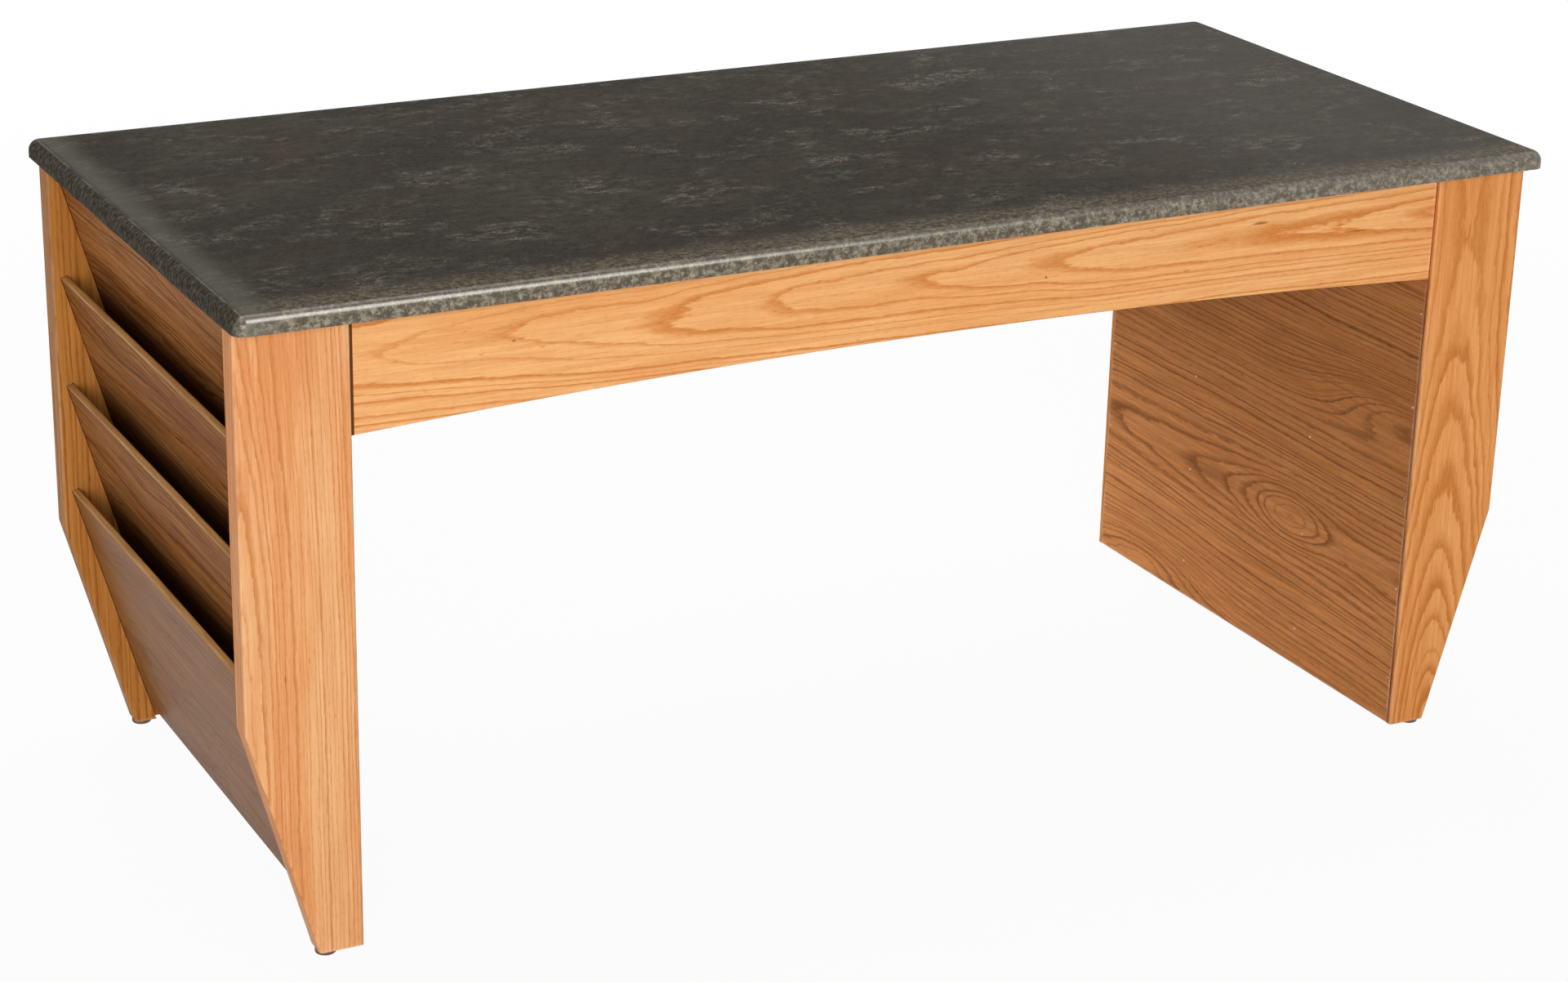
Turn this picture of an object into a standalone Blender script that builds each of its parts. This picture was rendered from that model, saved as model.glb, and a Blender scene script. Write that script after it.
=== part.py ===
"""Coffee table with sloping magazine pockets at both ends.

Four oak leg boards and two oak aprons carry a thin stone-look top. A thin
veneered panel closes each end, and outside it four leaning panels stand in
slots in the legs. The back one reaches up under the top, and the three below
it each have a floor strip, which makes three magazine pockets.
"""

import math

import bmesh
import bpy
from mathutils import Matrix, Vector

# Overall size of the table, in metres.
TABLE_LENGTH = 1.003
TABLE_DEPTH = 0.459
TABLE_HEIGHT = 0.457

# Gap left between two pieces that touch, and how far a cutter runs past a face.
FIT_GAP = 0.0003
CUT_OVERRUN = 0.002

# Tabletop: laminate skin over a board, with a balancing sheet underneath.
TOP_THICKNESS = 0.0127
SKIN_THICKNESS = 0.0008
BACKER_THICKNESS = 0.0006
TOP_CORNER_RADIUS = 0.009
TOP_EDGE_RADIUS = 0.008
END_OVERHANG = 0.0037
FACE_OVERHANG = 0.0184

# Leg boards: outer edge upright, then tapered to the foot.
LEG_THICKNESS = 0.019
LEG_WIDTH = 0.077
FOOT_WIDTH = 0.031
TAPER_TOP_HEIGHT = 0.1705
LEG_EDGE_RADIUS = 0.002

# Aprons between the legs, with an arched lower edge.
APRON_THICKNESS = 0.019
APRON_END_DEPTH = 0.0813
APRON_ARCH_RISE = 0.0122
APRON_RECESS = 0.0035
APRON_EDGE_RADIUS = 0.001

# End panels, let into the legs' inner edges behind a narrow lip.
END_PANEL_THICKNESS = 0.0055
LIP_WIDTH = 0.0048

# Leaning pocket panels and the slots that hold their ends. The lowest panel
# stands this far above the floor, and this far out from the end panel there.
# Top edges stay at least this far under the frame's top.
POCKET_PANEL_THICKNESS = 0.0055
POCKET_TOP_HEIGHT = 0.3609
POCKET_PITCH = 0.0816
POCKET_TOP_INSET = 0.0066
POCKET_BOTTOM_HEIGHT = 0.016
POCKET_BOTTOM_WIDTH = 0.0128
POCKET_TOP_ROUNDING = 0.0017
POCKET_TOP_CLEARANCE = 0.0015
SLOT_DEPTH = 0.0064

# Floor strips near the bottom of the pocket panels.
FLOOR_STRIP_HEIGHT = 0.019
FLOOR_STRIP_RISE = 0.0084

# Cleats that the top is screwed to.
CLEAT_SIZE = 0.019
CLEAT_EDGE_RADIUS = 0.0008

# Wooden dowels between aprons and legs.
DOWEL_RADIUS = 0.003
DOWEL_LENGTH = 0.032
DOWEL_CHAMFER = 0.0006
DOWEL_END_CLEARANCE = 0.001
DOWEL_MARGIN = 0.022

# Countersunk screws through the cleats into the top.
SCREW_BITE = 0.0063
SCREW_SHANK_RADIUS = 0.0018
SCREW_HEAD_RADIUS = 0.0036
SCREW_HEAD_HEIGHT = 0.0022
SCREW_TIP_LENGTH = 0.004
SCREW_RECESS_DEPTH = 0.0011
SCREW_RECESS_WIDTH = 0.0009
SCREW_RECESS_SPAN = 0.0036
SCREW_END_MARGIN = 0.1205

# Nail-on glides under the feet, and their nails.
GLIDE_RADIUS = 0.0072
GLIDE_HEIGHT = 0.0037
GLIDE_EDGE_RADIUS = 0.0011
GLIDE_INSET = 0.007
GLIDE_RECESS_DEPTH = 0.0018
NAIL_LENGTH = 0.019
NAIL_SHANK_RADIUS = 0.001
NAIL_HEAD_RADIUS = 0.0025
NAIL_HEAD_HEIGHT = 0.0008
NAIL_TIP_LENGTH = 0.0025
HOLE_END_CLEARANCE = 0.001

# Mesh fineness.
CORNER_SEGMENTS = 5
EDGE_SEGMENTS = 5
SMALL_EDGE_SEGMENTS = 2
ARCH_SEGMENTS = 24
TURNED_STEPS = 16
SMOOTH_ANGLE = math.radians(35.0)
WELD_DISTANCE = 1e-7

# Places that follow from the sizes above. X runs along the table, Y across it,
# and all of these are distances from the middle or heights above the floor.
TOP_UNDERSIDE = TABLE_HEIGHT - TOP_THICKNESS
FRAME_TOP = TOP_UNDERSIDE - FIT_GAP
FOOT_UNDERSIDE = GLIDE_HEIGHT + FIT_GAP
LEG_OUTER_X = TABLE_LENGTH / 2 - END_OVERHANG
LEG_INNER_X = LEG_OUTER_X - LEG_WIDTH
FOOT_OUTER_X = LEG_INNER_X + FOOT_WIDTH
LEG_FACE_Y = TABLE_DEPTH / 2 - FACE_OVERHANG
LEG_BACK_Y = LEG_FACE_Y - LEG_THICKNESS
APRON_FACE_Y = LEG_FACE_Y - APRON_RECESS
APRON_BACK_Y = APRON_FACE_Y - APRON_THICKNESS
APRON_END_X = LEG_INNER_X - FIT_GAP
END_PANEL_OUTER_X = LEG_INNER_X + END_PANEL_THICKNESS
END_PANEL_EDGE_Y = LEG_FACE_Y - LIP_WIDTH - FIT_GAP
POCKET_TOP_X = LEG_OUTER_X - POCKET_TOP_INSET
POCKET_BOTTOM_X = END_PANEL_OUTER_X + POCKET_BOTTOM_WIDTH
CLEAT_FACE_Y = APRON_BACK_Y - FIT_GAP
CLEAT_BACK_Y = CLEAT_FACE_Y - CLEAT_SIZE
CLEAT_UNDERSIDE = FRAME_TOP - CLEAT_SIZE
CLEAT_END_X = LEG_INNER_X - FIT_GAP
DOWEL_Y = (APRON_FACE_Y + LEG_BACK_Y) / 2
GLIDE_X = FOOT_OUTER_X - GLIDE_INSET
GLIDE_Y = (LEG_FACE_Y + LEG_BACK_Y) / 2

# Names of the repeated places, with their signs along X and Y.
SIDES = (("left", -1), ("right", 1))
FACES = (("front", -1), ("rear", 1))
POCKET_LEVELS = ("upper", "middle", "lower")
BACK_LEVEL = -1

# How far a pocket panel drops and how much it leans, from the lowest one.
POCKET_DROP = POCKET_TOP_HEIGHT - (len(POCKET_LEVELS) - 1) * POCKET_PITCH - POCKET_BOTTOM_HEIGHT
POCKET_LEAN = math.atan2(POCKET_TOP_X - POCKET_BOTTOM_X, POCKET_DROP)

# A screw goes through a cleat and the backer and bites into the core.
SCREW_LENGTH = CLEAT_SIZE + BACKER_THICKNESS + 2 * FIT_GAP + SCREW_BITE

# Colour, roughness and metallic value of each material.
OAK = ("oak", (0.80, 0.44, 0.18), 0.42, 0.0)
VENEER = ("brown_veneer", (0.27, 0.12, 0.05), 0.45, 0.0)
POCKET_PLY = ("pocket_plywood", (0.30, 0.15, 0.08), 0.38, 0.0)
SOFTWOOD = ("softwood", (0.62, 0.44, 0.24), 0.60, 0.0)
BEECH = ("beech", (0.66, 0.46, 0.28), 0.55, 0.0)
LAMINATE = ("stone_laminate", (0.075, 0.070, 0.060), 0.35, 0.0)
BOARD = ("core_board", (0.42, 0.30, 0.18), 0.80, 0.0)
BACKING = ("backing_sheet", (0.16, 0.11, 0.07), 0.60, 0.0)
GLIDE_PLASTIC = ("brown_plastic", (0.13, 0.07, 0.045), 0.50, 0.0)
STEEL = ("zinc_steel", (0.62, 0.60, 0.55), 0.35, 1.0)


def clear_scene():
    for item in list(bpy.data.objects):
        bpy.data.objects.remove(item, do_unlink=True)


def material(finish):
    name, colour, roughness, metallic = finish
    made = bpy.data.materials.get(name)
    if made is None:
        made = bpy.data.materials.new(name)
        made.use_nodes = True
        shader = made.node_tree.nodes["Principled BSDF"]
        shader.inputs["Base Color"].default_value = (*colour, 1.0)
        shader.inputs["Roughness"].default_value = roughness
        shader.inputs["Metallic"].default_value = metallic
    return made


def add_object(name, shape, finish=None):
    """Turn a bmesh into an object, with its faces pointing out."""
    bmesh.ops.recalc_face_normals(shape, faces=shape.faces)
    mesh = bpy.data.meshes.new(name)
    shape.to_mesh(mesh)
    shape.free()
    mesh.shade_smooth()
    mesh.set_sharp_from_angle(angle=SMOOTH_ANGLE)
    if finish:
        mesh.materials.append(material(finish))
    item = bpy.data.objects.new(name, mesh)
    bpy.context.scene.collection.objects.link(item)
    return item


def add_cutter(name, shape):
    """A shape that only cuts others: it isn't part of the table."""
    cutter = add_object(name, shape)
    cutter.hide_render = True
    cutter.display_type = "WIRE"
    return cutter


def cut(item, cutter):
    step = item.modifiers.new(cutter.name, "BOOLEAN")
    step.operation = "DIFFERENCE"
    step.solver = "EXACT"
    step.object = cutter


def add_prism(shape, outline, low, high, upright=False):
    """Extrude an outline along Y, or, if it is upright, a plan outline along Z."""
    turn = Matrix.Identity(3) if upright else Matrix(((1, 0, 0), (0, 0, 1), (0, 1, 0)))
    corners = [shape.verts.new(turn @ Vector((*point, low))) for point in outline]
    face = shape.faces.new(corners)
    extruded = bmesh.ops.extrude_face_region(shape, geom=[face])["geom"]
    moved = [part for part in extruded if isinstance(part, bmesh.types.BMVert)]
    bmesh.ops.translate(shape, verts=moved, vec=turn @ Vector((0, 0, high - low)))


def add_box(shape, low, high):
    outline = [(low[0], low[2]), (high[0], low[2]), (high[0], high[2]), (low[0], high[2])]
    add_prism(shape, outline, low[1], high[1])


def turned(profile, place, axis="Z"):
    """Spin a profile of (radius, height) points about an upright or a level axis."""
    shape = bmesh.new()
    profile = [point for point, last in zip(profile, [None] + profile) if point != last]
    points = [shape.verts.new((radius, 0, height)) for radius, height in profile]
    edges = [shape.edges.new(pair) for pair in zip(points, points[1:])]
    bmesh.ops.spin(shape, geom=points + edges, cent=(0, 0, 0), axis=(0, 0, 1),
                   angle=math.tau, steps=TURNED_STEPS, use_merge=True)
    bmesh.ops.remove_doubles(shape, verts=shape.verts, dist=WELD_DISTANCE)
    if axis == "X":
        bmesh.ops.rotate(shape, verts=shape.verts, cent=(0, 0, 0),
                         matrix=Matrix.Rotation(math.pi / 2, 3, "Y"))
    bmesh.ops.translate(shape, verts=shape.verts, vec=place)
    return shape


def joined(shapes):
    """Put several shapes that don't touch into one."""
    whole = bmesh.new()
    for shape in shapes:
        mesh = bpy.data.meshes.new("joined")
        shape.to_mesh(mesh)
        shape.free()
        whole.from_mesh(mesh)
        bpy.data.meshes.remove(mesh)
    return whole


def rounded_slab(length, depth, low, high, corner_radius, edge_radius):
    """A flat board with rounded plan corners and a rounded upper edge."""
    shape = bmesh.new()
    add_box(shape, (-length / 2, -depth / 2, low), (length / 2, depth / 2, high))
    upright = [e for e in shape.edges if e.verts[0].co.xy == e.verts[1].co.xy]
    bmesh.ops.bevel(shape, geom=upright, offset=corner_radius, segments=CORNER_SEGMENTS,
                    profile=0.5, affect="EDGES", clamp_overlap=False)
    if edge_radius:
        middle = (low + high) / 2
        rim = [e for e in shape.edges if is_rim(e, middle)]
        bmesh.ops.bevel(shape, geom=rim, offset=edge_radius, segments=EDGE_SEGMENTS,
                        profile=0.5, affect="EDGES", clamp_overlap=False)
    return shape


def is_rim(edge, middle):
    """True for an edge of the upper face."""
    return all(vert.co.z > middle for vert in edge.verts)


def tabletop_skin():
    """Laminate over the top face and the edges, open underneath."""
    shape = rounded_slab(TABLE_LENGTH, TABLE_DEPTH, TOP_UNDERSIDE, TABLE_HEIGHT,
                         TOP_CORNER_RADIUS, TOP_EDGE_RADIUS)
    shape.normal_update()
    underside = min(shape.faces, key=lambda face: face.calc_center_median().z)
    bmesh.ops.delete(shape, geom=[underside], context="FACES_ONLY")
    skin = add_object("tabletop_skin", shape, LAMINATE)
    thickness = skin.modifiers.new("thickness", "SOLIDIFY")
    thickness.thickness = SKIN_THICKNESS
    thickness.offset = -1.0
    thickness.use_even_offset = True


def tabletop_backer(screw_holes):
    """Thin sheet under the core, flush with the skin's lower rim."""
    inset = SKIN_THICKNESS + FIT_GAP
    shape = rounded_slab(TABLE_LENGTH - 2 * inset, TABLE_DEPTH - 2 * inset,
                         TOP_UNDERSIDE, TOP_UNDERSIDE + BACKER_THICKNESS,
                         TOP_CORNER_RADIUS - inset, 0)
    cut(add_object("tabletop_backer", shape, BACKING), screw_holes)


def tabletop_core(screw_holes):
    """Board inside the skin, on the backer."""
    inset = SKIN_THICKNESS + FIT_GAP
    shape = rounded_slab(TABLE_LENGTH - 2 * inset, TABLE_DEPTH - 2 * inset,
                         TOP_UNDERSIDE + BACKER_THICKNESS + FIT_GAP, TABLE_HEIGHT - inset,
                         TOP_CORNER_RADIUS - inset, TOP_EDGE_RADIUS - inset)
    cut(add_object("tabletop_core", shape, BOARD), screw_holes)


def pocket_top(level):
    """Height of a leaning panel's outer top edge, before it is sawn to length."""
    return POCKET_TOP_HEIGHT - level * POCKET_PITCH


def sawn_off(level):
    """How much comes off a leaning panel's top, to keep it under the tabletop."""
    spare = pocket_top(level) - (FRAME_TOP - POCKET_TOP_CLEARANCE)
    return max(0, spare) / math.cos(POCKET_LEAN)


def pocket_inner_x(level, height, margin):
    """Place of a pocket panel's inner face at a height, kept clear by a margin."""
    backing = (POCKET_PANEL_THICKNESS + margin) / math.cos(POCKET_LEAN)
    return POCKET_TOP_X - backing - (pocket_top(level) - height) * math.tan(POCKET_LEAN)


def leaning_outline(side, level, rise, run, margin):
    """Section of a pocket panel, or of its slot, grown by a margin.

    It starts at a rise above the panel's outer top edge and runs down and inwards.
    """
    down = Vector((-math.sin(POCKET_LEAN), -math.cos(POCKET_LEAN)))
    inwards = Vector((-math.cos(POCKET_LEAN), math.sin(POCKET_LEAN)))
    top = Vector((POCKET_TOP_X, pocket_top(level)))
    outer = top - inwards * margin
    inner = top + inwards * (POCKET_PANEL_THICKNESS + margin)
    corners = [outer - down * rise, inner - down * rise, inner + down * run, outer + down * run]
    return [(side * point.x, point.y) for point in corners]


def leg_outline(side):
    points = [
        (LEG_INNER_X, FOOT_UNDERSIDE),
        (FOOT_OUTER_X, FOOT_UNDERSIDE),
        (LEG_OUTER_X, TAPER_TOP_HEIGHT),
        (LEG_OUTER_X, FRAME_TOP),
        (LEG_INNER_X, FRAME_TOP),
    ]
    return [(side * x, z) for x, z in points]


def ease_long_edges(shape, radius, low_z, high_z):
    """Round the edges along a board, but not those of its sawn ends."""
    long_edges = []
    for edge in shape.edges:
        heights = [vert.co.z for vert in edge.verts]
        across = edge.verts[0].co.y != edge.verts[1].co.y
        sawn = max(heights) - min(heights) < (high_z - low_z) / 10
        if not across and not sawn:
            long_edges.append(edge)
    bmesh.ops.bevel(shape, geom=long_edges, offset=radius, segments=SMALL_EDGE_SEGMENTS,
                    profile=0.5, affect="EDGES")


def pocket_slots(name, side, face):
    """Slanted slots in a leg's inner face. Each runs out below, and the back one above too."""
    slots = []
    for level in range(BACK_LEVEL, len(POCKET_LEVELS)):
        rise = FIT_GAP
        if level == BACK_LEVEL:
            rise = (POCKET_TOP_CLEARANCE + CUT_OVERRUN) / math.cos(POCKET_LEAN)
        run = pocket_top(level) / math.cos(POCKET_LEAN)
        slot = bmesh.new()
        add_prism(slot, leaning_outline(side, level, rise, run, FIT_GAP),
                  face * (LEG_BACK_Y + SLOT_DEPTH), face * (LEG_BACK_Y - CUT_OVERRUN))
        slots.append(slot)
    return add_cutter(name + "_pocket_slots", joined(slots))


def panel_rabbet(name, side, face):
    """Step in a leg's inner edge that the end panel's edge lies in."""
    shape = bmesh.new()
    add_box(shape,
            (side * (LEG_INNER_X - CUT_OVERRUN), face * (LEG_BACK_Y - CUT_OVERRUN),
             FOOT_UNDERSIDE - CUT_OVERRUN),
            (side * (END_PANEL_OUTER_X + FIT_GAP), face * (END_PANEL_EDGE_Y + FIT_GAP),
             FRAME_TOP + CUT_OVERRUN))
    return add_cutter(name + "_panel_rabbet", shape)


def dowel_heights():
    low = FRAME_TOP - APRON_END_DEPTH + DOWEL_MARGIN
    high = FRAME_TOP - DOWEL_MARGIN
    return (("lower", low), ("upper", high))


def round_hole(radius, low, high, place, axis="Z"):
    return turned([(0, low), (radius, low), (radius, high), (0, high)], place, axis)


def dowel_holes(name, side, face):
    """Holes for one joint's two dowels, through the apron's end into the leg."""
    reach = DOWEL_LENGTH / 2 + DOWEL_END_CLEARANCE
    holes = [round_hole(DOWEL_RADIUS + FIT_GAP, -reach, reach,
                        (side * LEG_INNER_X, face * DOWEL_Y, height), "X")
             for _, height in dowel_heights()]
    return add_cutter(name + "_dowel_holes", joined(holes))


def glide_nail_hole(name, side, face):
    """Nail hole that runs up into a foot."""
    tip = GLIDE_RECESS_DEPTH - NAIL_HEAD_HEIGHT + NAIL_LENGTH + HOLE_END_CLEARANCE
    shape = round_hole(NAIL_SHANK_RADIUS + FIT_GAP, GLIDE_RECESS_DEPTH, tip,
                       (side * GLIDE_X, face * GLIDE_Y, 0))
    return add_cutter(name + "_nail_hole", shape)


def leg(name, side, face, dowel_cutter):
    """Leg board, cut for the pocket panels, the end panel, dowels and a nail."""
    shape = bmesh.new()
    add_prism(shape, leg_outline(side), face * LEG_BACK_Y, face * LEG_FACE_Y)
    ease_long_edges(shape, LEG_EDGE_RADIUS, FOOT_UNDERSIDE, FRAME_TOP)
    board = add_object(name + "_leg", shape, OAK)
    cut(board, panel_rabbet(name, side, face))
    cut(board, pocket_slots(name, side, face))
    cut(board, dowel_cutter)
    cut(board, glide_nail_hole(name, side, face))


def arch_points():
    """Lower edge of an apron: one round arc between its ends."""
    half = APRON_END_X
    end_height = FRAME_TOP - APRON_END_DEPTH
    radius = (half ** 2 + APRON_ARCH_RISE ** 2) / (2 * APRON_ARCH_RISE)
    sweep = math.asin(half / radius)
    centre = end_height + APRON_ARCH_RISE - radius
    points = []
    for step in range(ARCH_SEGMENTS + 1):
        angle = sweep * (2 * step / ARCH_SEGMENTS - 1)
        points.append((radius * math.sin(angle), centre + radius * math.cos(angle)))
    return points


def apron(name, face, dowel_cutters):
    """Board between two legs, with an arched lower edge."""
    outline = arch_points() + [(APRON_END_X, FRAME_TOP), (-APRON_END_X, FRAME_TOP)]
    shape = bmesh.new()
    add_prism(shape, outline, face * APRON_BACK_Y, face * APRON_FACE_Y)
    middle = FRAME_TOP - APRON_END_DEPTH / 2
    arch_edges = [edge for edge in shape.edges
                  if all(vert.co.z < middle for vert in edge.verts)
                  and edge.verts[0].co.y == edge.verts[1].co.y]
    bmesh.ops.bevel(shape, geom=arch_edges, offset=APRON_EDGE_RADIUS,
                    segments=SMALL_EDGE_SEGMENTS, profile=0.5, affect="EDGES")
    board = add_object(name + "_apron", shape, OAK)
    for cutter in dowel_cutters:
        cut(board, cutter)


def dowel(name, side, face, height):
    half = DOWEL_LENGTH / 2
    inner = DOWEL_RADIUS - DOWEL_CHAMFER
    profile = [(0, -half), (inner, -half), (DOWEL_RADIUS, -half + DOWEL_CHAMFER),
               (DOWEL_RADIUS, half - DOWEL_CHAMFER), (inner, half), (0, half)]
    shape = turned(profile, (side * LEG_INNER_X, face * DOWEL_Y, height), "X")
    add_object(name, shape, BEECH)


def end_panel(name, side, dowel_cutters):
    """Thin panel between the knee space and the pockets."""
    shape = bmesh.new()
    add_box(shape, (side * LEG_INNER_X, -END_PANEL_EDGE_Y, FOOT_UNDERSIDE),
            (side * END_PANEL_OUTER_X, END_PANEL_EDGE_Y, FRAME_TOP))
    panel = add_object(name + "_end_panel", shape, VENEER)
    for cutter in dowel_cutters:
        cut(panel, cutter)


def pocket_panel(name, side, level):
    """Leaning panel with a rounded top edge. Its ends stand in the legs' slots."""
    half = LEG_BACK_Y + SLOT_DEPTH - FIT_GAP
    shape = bmesh.new()
    run = POCKET_DROP / math.cos(POCKET_LEAN)
    add_prism(shape, leaning_outline(side, level, -sawn_off(level), run, 0), -half, half)
    middle = pocket_top(level) - POCKET_DROP / 2
    top_edges = [edge for edge in shape.edges
                 if all(vert.co.z > middle for vert in edge.verts)
                 and edge.verts[0].co.y != edge.verts[1].co.y]
    bmesh.ops.bevel(shape, geom=top_edges, offset=POCKET_TOP_ROUNDING,
                    segments=SMALL_EDGE_SEGMENTS, profile=0.5, affect="EDGES")
    add_object(name + "_pocket_panel", shape, POCKET_PLY)


def pocket_floor(name, side, level):
    """Strip between an end panel and a pocket panel, with one leaning face."""
    low = pocket_top(level) - POCKET_DROP + FLOOR_STRIP_RISE
    high = low + FLOOR_STRIP_HEIGHT
    inner_x = END_PANEL_OUTER_X + FIT_GAP
    outline = [(inner_x, low), (pocket_inner_x(level, low, FIT_GAP), low),
               (pocket_inner_x(level, high, FIT_GAP), high), (inner_x, high)]
    half = LEG_BACK_Y - FIT_GAP
    shape = bmesh.new()
    add_prism(shape, [(side * x, z) for x, z in outline], -half, half)
    add_object(name + "_pocket_floor", shape, SOFTWOOD)


def screw_places():
    """Names and places of the screws: three in each long cleat, one in each short one."""
    long_y = (CLEAT_FACE_Y + CLEAT_BACK_Y) / 2
    short_x = CLEAT_END_X - CLEAT_SIZE / 2
    end_x = CLEAT_END_X - SCREW_END_MARGIN
    places = []
    for face_name, face in FACES:
        for along_name, along in (("left", -1), ("middle", 0), ("right", 1)):
            places.append((f"{face_name}_{along_name}_top_screw",
                           (along * end_x, face * long_y, CLEAT_UNDERSIDE)))
    for side_name, side in SIDES:
        places.append((f"{side_name}_end_top_screw", (side * short_x, 0, CLEAT_UNDERSIDE)))
    return places


def screw_profile(margin):
    """Countersunk head at height zero, shank and point above it."""
    shank = SCREW_SHANK_RADIUS + margin
    tip_start = SCREW_LENGTH - SCREW_TIP_LENGTH
    return [(0, -margin), (SCREW_HEAD_RADIUS + margin, -margin), (SCREW_HEAD_RADIUS + margin, 0),
            (shank, SCREW_HEAD_HEIGHT), (shank, tip_start), (0, SCREW_LENGTH + margin)]


def screw_holes():
    """Countersunk holes for all the screws, through cleats and backer into the core."""
    holes = [turned(screw_profile(FIT_GAP), place) for _, place in screw_places()]
    return add_cutter("top_screw_holes", joined(holes))


def cross_recess(name, place):
    """Cross-shaped driver recess in a screw head."""
    arm = SCREW_RECESS_SPAN / 2
    half = SCREW_RECESS_WIDTH / 2
    quarter = [(arm, -half), (arm, half), (half, half)]
    shape = bmesh.new()
    corners = []
    for turn in range(4):
        spin = Matrix.Rotation(turn * math.pi / 2, 2)
        corners += [spin @ Vector(point) for point in quarter]
    add_prism(shape, corners, -CUT_OVERRUN, SCREW_RECESS_DEPTH, upright=True)
    bmesh.ops.translate(shape, verts=shape.verts, vec=place)
    return add_cutter(name + "_recess", shape)


def top_screw(name, place):
    screw = add_object(name, turned(screw_profile(0), place), STEEL)
    cut(screw, cross_recess(name, place))


def long_cleat(name, face, holes):
    """Strip behind an apron, from one end panel to the other."""
    shape = bmesh.new()
    add_box(shape, (-CLEAT_END_X, face * CLEAT_BACK_Y, CLEAT_UNDERSIDE),
            (CLEAT_END_X, face * CLEAT_FACE_Y, FRAME_TOP))
    cut(eased_cleat(name, shape), holes)


def short_cleat(name, side, holes):
    """Strip along an end panel, between the long cleats."""
    half = CLEAT_BACK_Y - FIT_GAP
    shape = bmesh.new()
    add_box(shape, (side * (CLEAT_END_X - CLEAT_SIZE), -half, CLEAT_UNDERSIDE),
            (side * CLEAT_END_X, half, FRAME_TOP))
    cut(eased_cleat(name, shape), holes)


def eased_cleat(name, shape):
    cleat = add_object(name + "_cleat", shape, SOFTWOOD)
    easing = cleat.modifiers.new("eased edges", "BEVEL")
    easing.width = CLEAT_EDGE_RADIUS
    easing.segments = 1
    easing.limit_method = "ANGLE"
    return cleat


def glide(name, side, face):
    """Plastic disc under a foot, with a recess for the nail's head."""
    hole = NAIL_SHANK_RADIUS + FIT_GAP
    recess = NAIL_HEAD_RADIUS + FIT_GAP
    corner = [(GLIDE_RADIUS - GLIDE_EDGE_RADIUS * (1 - math.sin(turn)),
               GLIDE_EDGE_RADIUS * (1 - math.cos(turn)))
              for turn in (math.pi / 2 * step / EDGE_SEGMENTS for step in range(EDGE_SEGMENTS + 1))]
    profile = [(hole, GLIDE_RECESS_DEPTH), (recess, GLIDE_RECESS_DEPTH), (recess, 0)]
    profile += corner + [(GLIDE_RADIUS, GLIDE_HEIGHT), (hole, GLIDE_HEIGHT), (hole, GLIDE_RECESS_DEPTH)]
    shape = turned(profile, (side * GLIDE_X, face * GLIDE_Y, 0))
    add_object(name + "_glide", shape, GLIDE_PLASTIC)


def glide_nail(name, side, face):
    """Nail through a glide, up into the foot."""
    head_low = GLIDE_RECESS_DEPTH - FIT_GAP - NAIL_HEAD_HEIGHT
    head_high = GLIDE_RECESS_DEPTH - FIT_GAP
    tip = head_low + NAIL_LENGTH
    profile = [(0, head_low), (NAIL_HEAD_RADIUS, head_low), (NAIL_HEAD_RADIUS, head_high),
               (NAIL_SHANK_RADIUS, head_high), (NAIL_SHANK_RADIUS, tip - NAIL_TIP_LENGTH), (0, tip)]
    shape = turned(profile, (side * GLIDE_X, face * GLIDE_Y, 0))
    add_object(name + "_glide_nail", shape, STEEL)


def build_corner(side_name, side, face_name, face, dowel_cutter):
    """Leg, dowels and glide at one corner of the table."""
    name = f"{face_name}_{side_name}"
    leg(name, side, face, dowel_cutter)
    for height_name, height in dowel_heights():
        dowel(f"{name}_{height_name}_dowel", side, face, height)
    glide(name, side, face)
    glide_nail(name, side, face)


def build_end(side_name, side, dowel_cutters, holes):
    """End panel, pockets and cleat at one end of the table."""
    end_panel(side_name, side, dowel_cutters)
    pocket_panel(f"{side_name}_back", side, BACK_LEVEL)
    for level, level_name in enumerate(POCKET_LEVELS):
        pocket_panel(f"{side_name}_{level_name}", side, level)
        pocket_floor(f"{side_name}_{level_name}", side, level)
    short_cleat(side_name, side, holes)


def build_table():
    clear_scene()
    holes = screw_holes()
    tabletop_skin()
    tabletop_core(holes)
    tabletop_backer(holes)
    dowel_cutters = {}
    for side_name, side in SIDES:
        for face_name, face in FACES:
            cutter = dowel_holes(f"{face_name}_{side_name}", side, face)
            dowel_cutters[side, face] = cutter
            build_corner(side_name, side, face_name, face, cutter)
    for face_name, face in FACES:
        apron(face_name, face, [dowel_cutters[side, face] for _, side in SIDES])
        long_cleat(face_name, face, holes)
    for side_name, side in SIDES:
        build_end(side_name, side, [dowel_cutters[side, face] for _, face in FACES], holes)
    for name, place in screw_places():
        top_screw(name, place)


build_table()
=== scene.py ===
"""Coffee table with sloping magazine pockets at both ends, dressed for looks.

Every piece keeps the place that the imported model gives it. X runs along the
table, Y from its front to its rear and Z up from the floor, all in metres.
"""

import math

import bmesh
import bpy
from mathutils import Matrix, Vector


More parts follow.
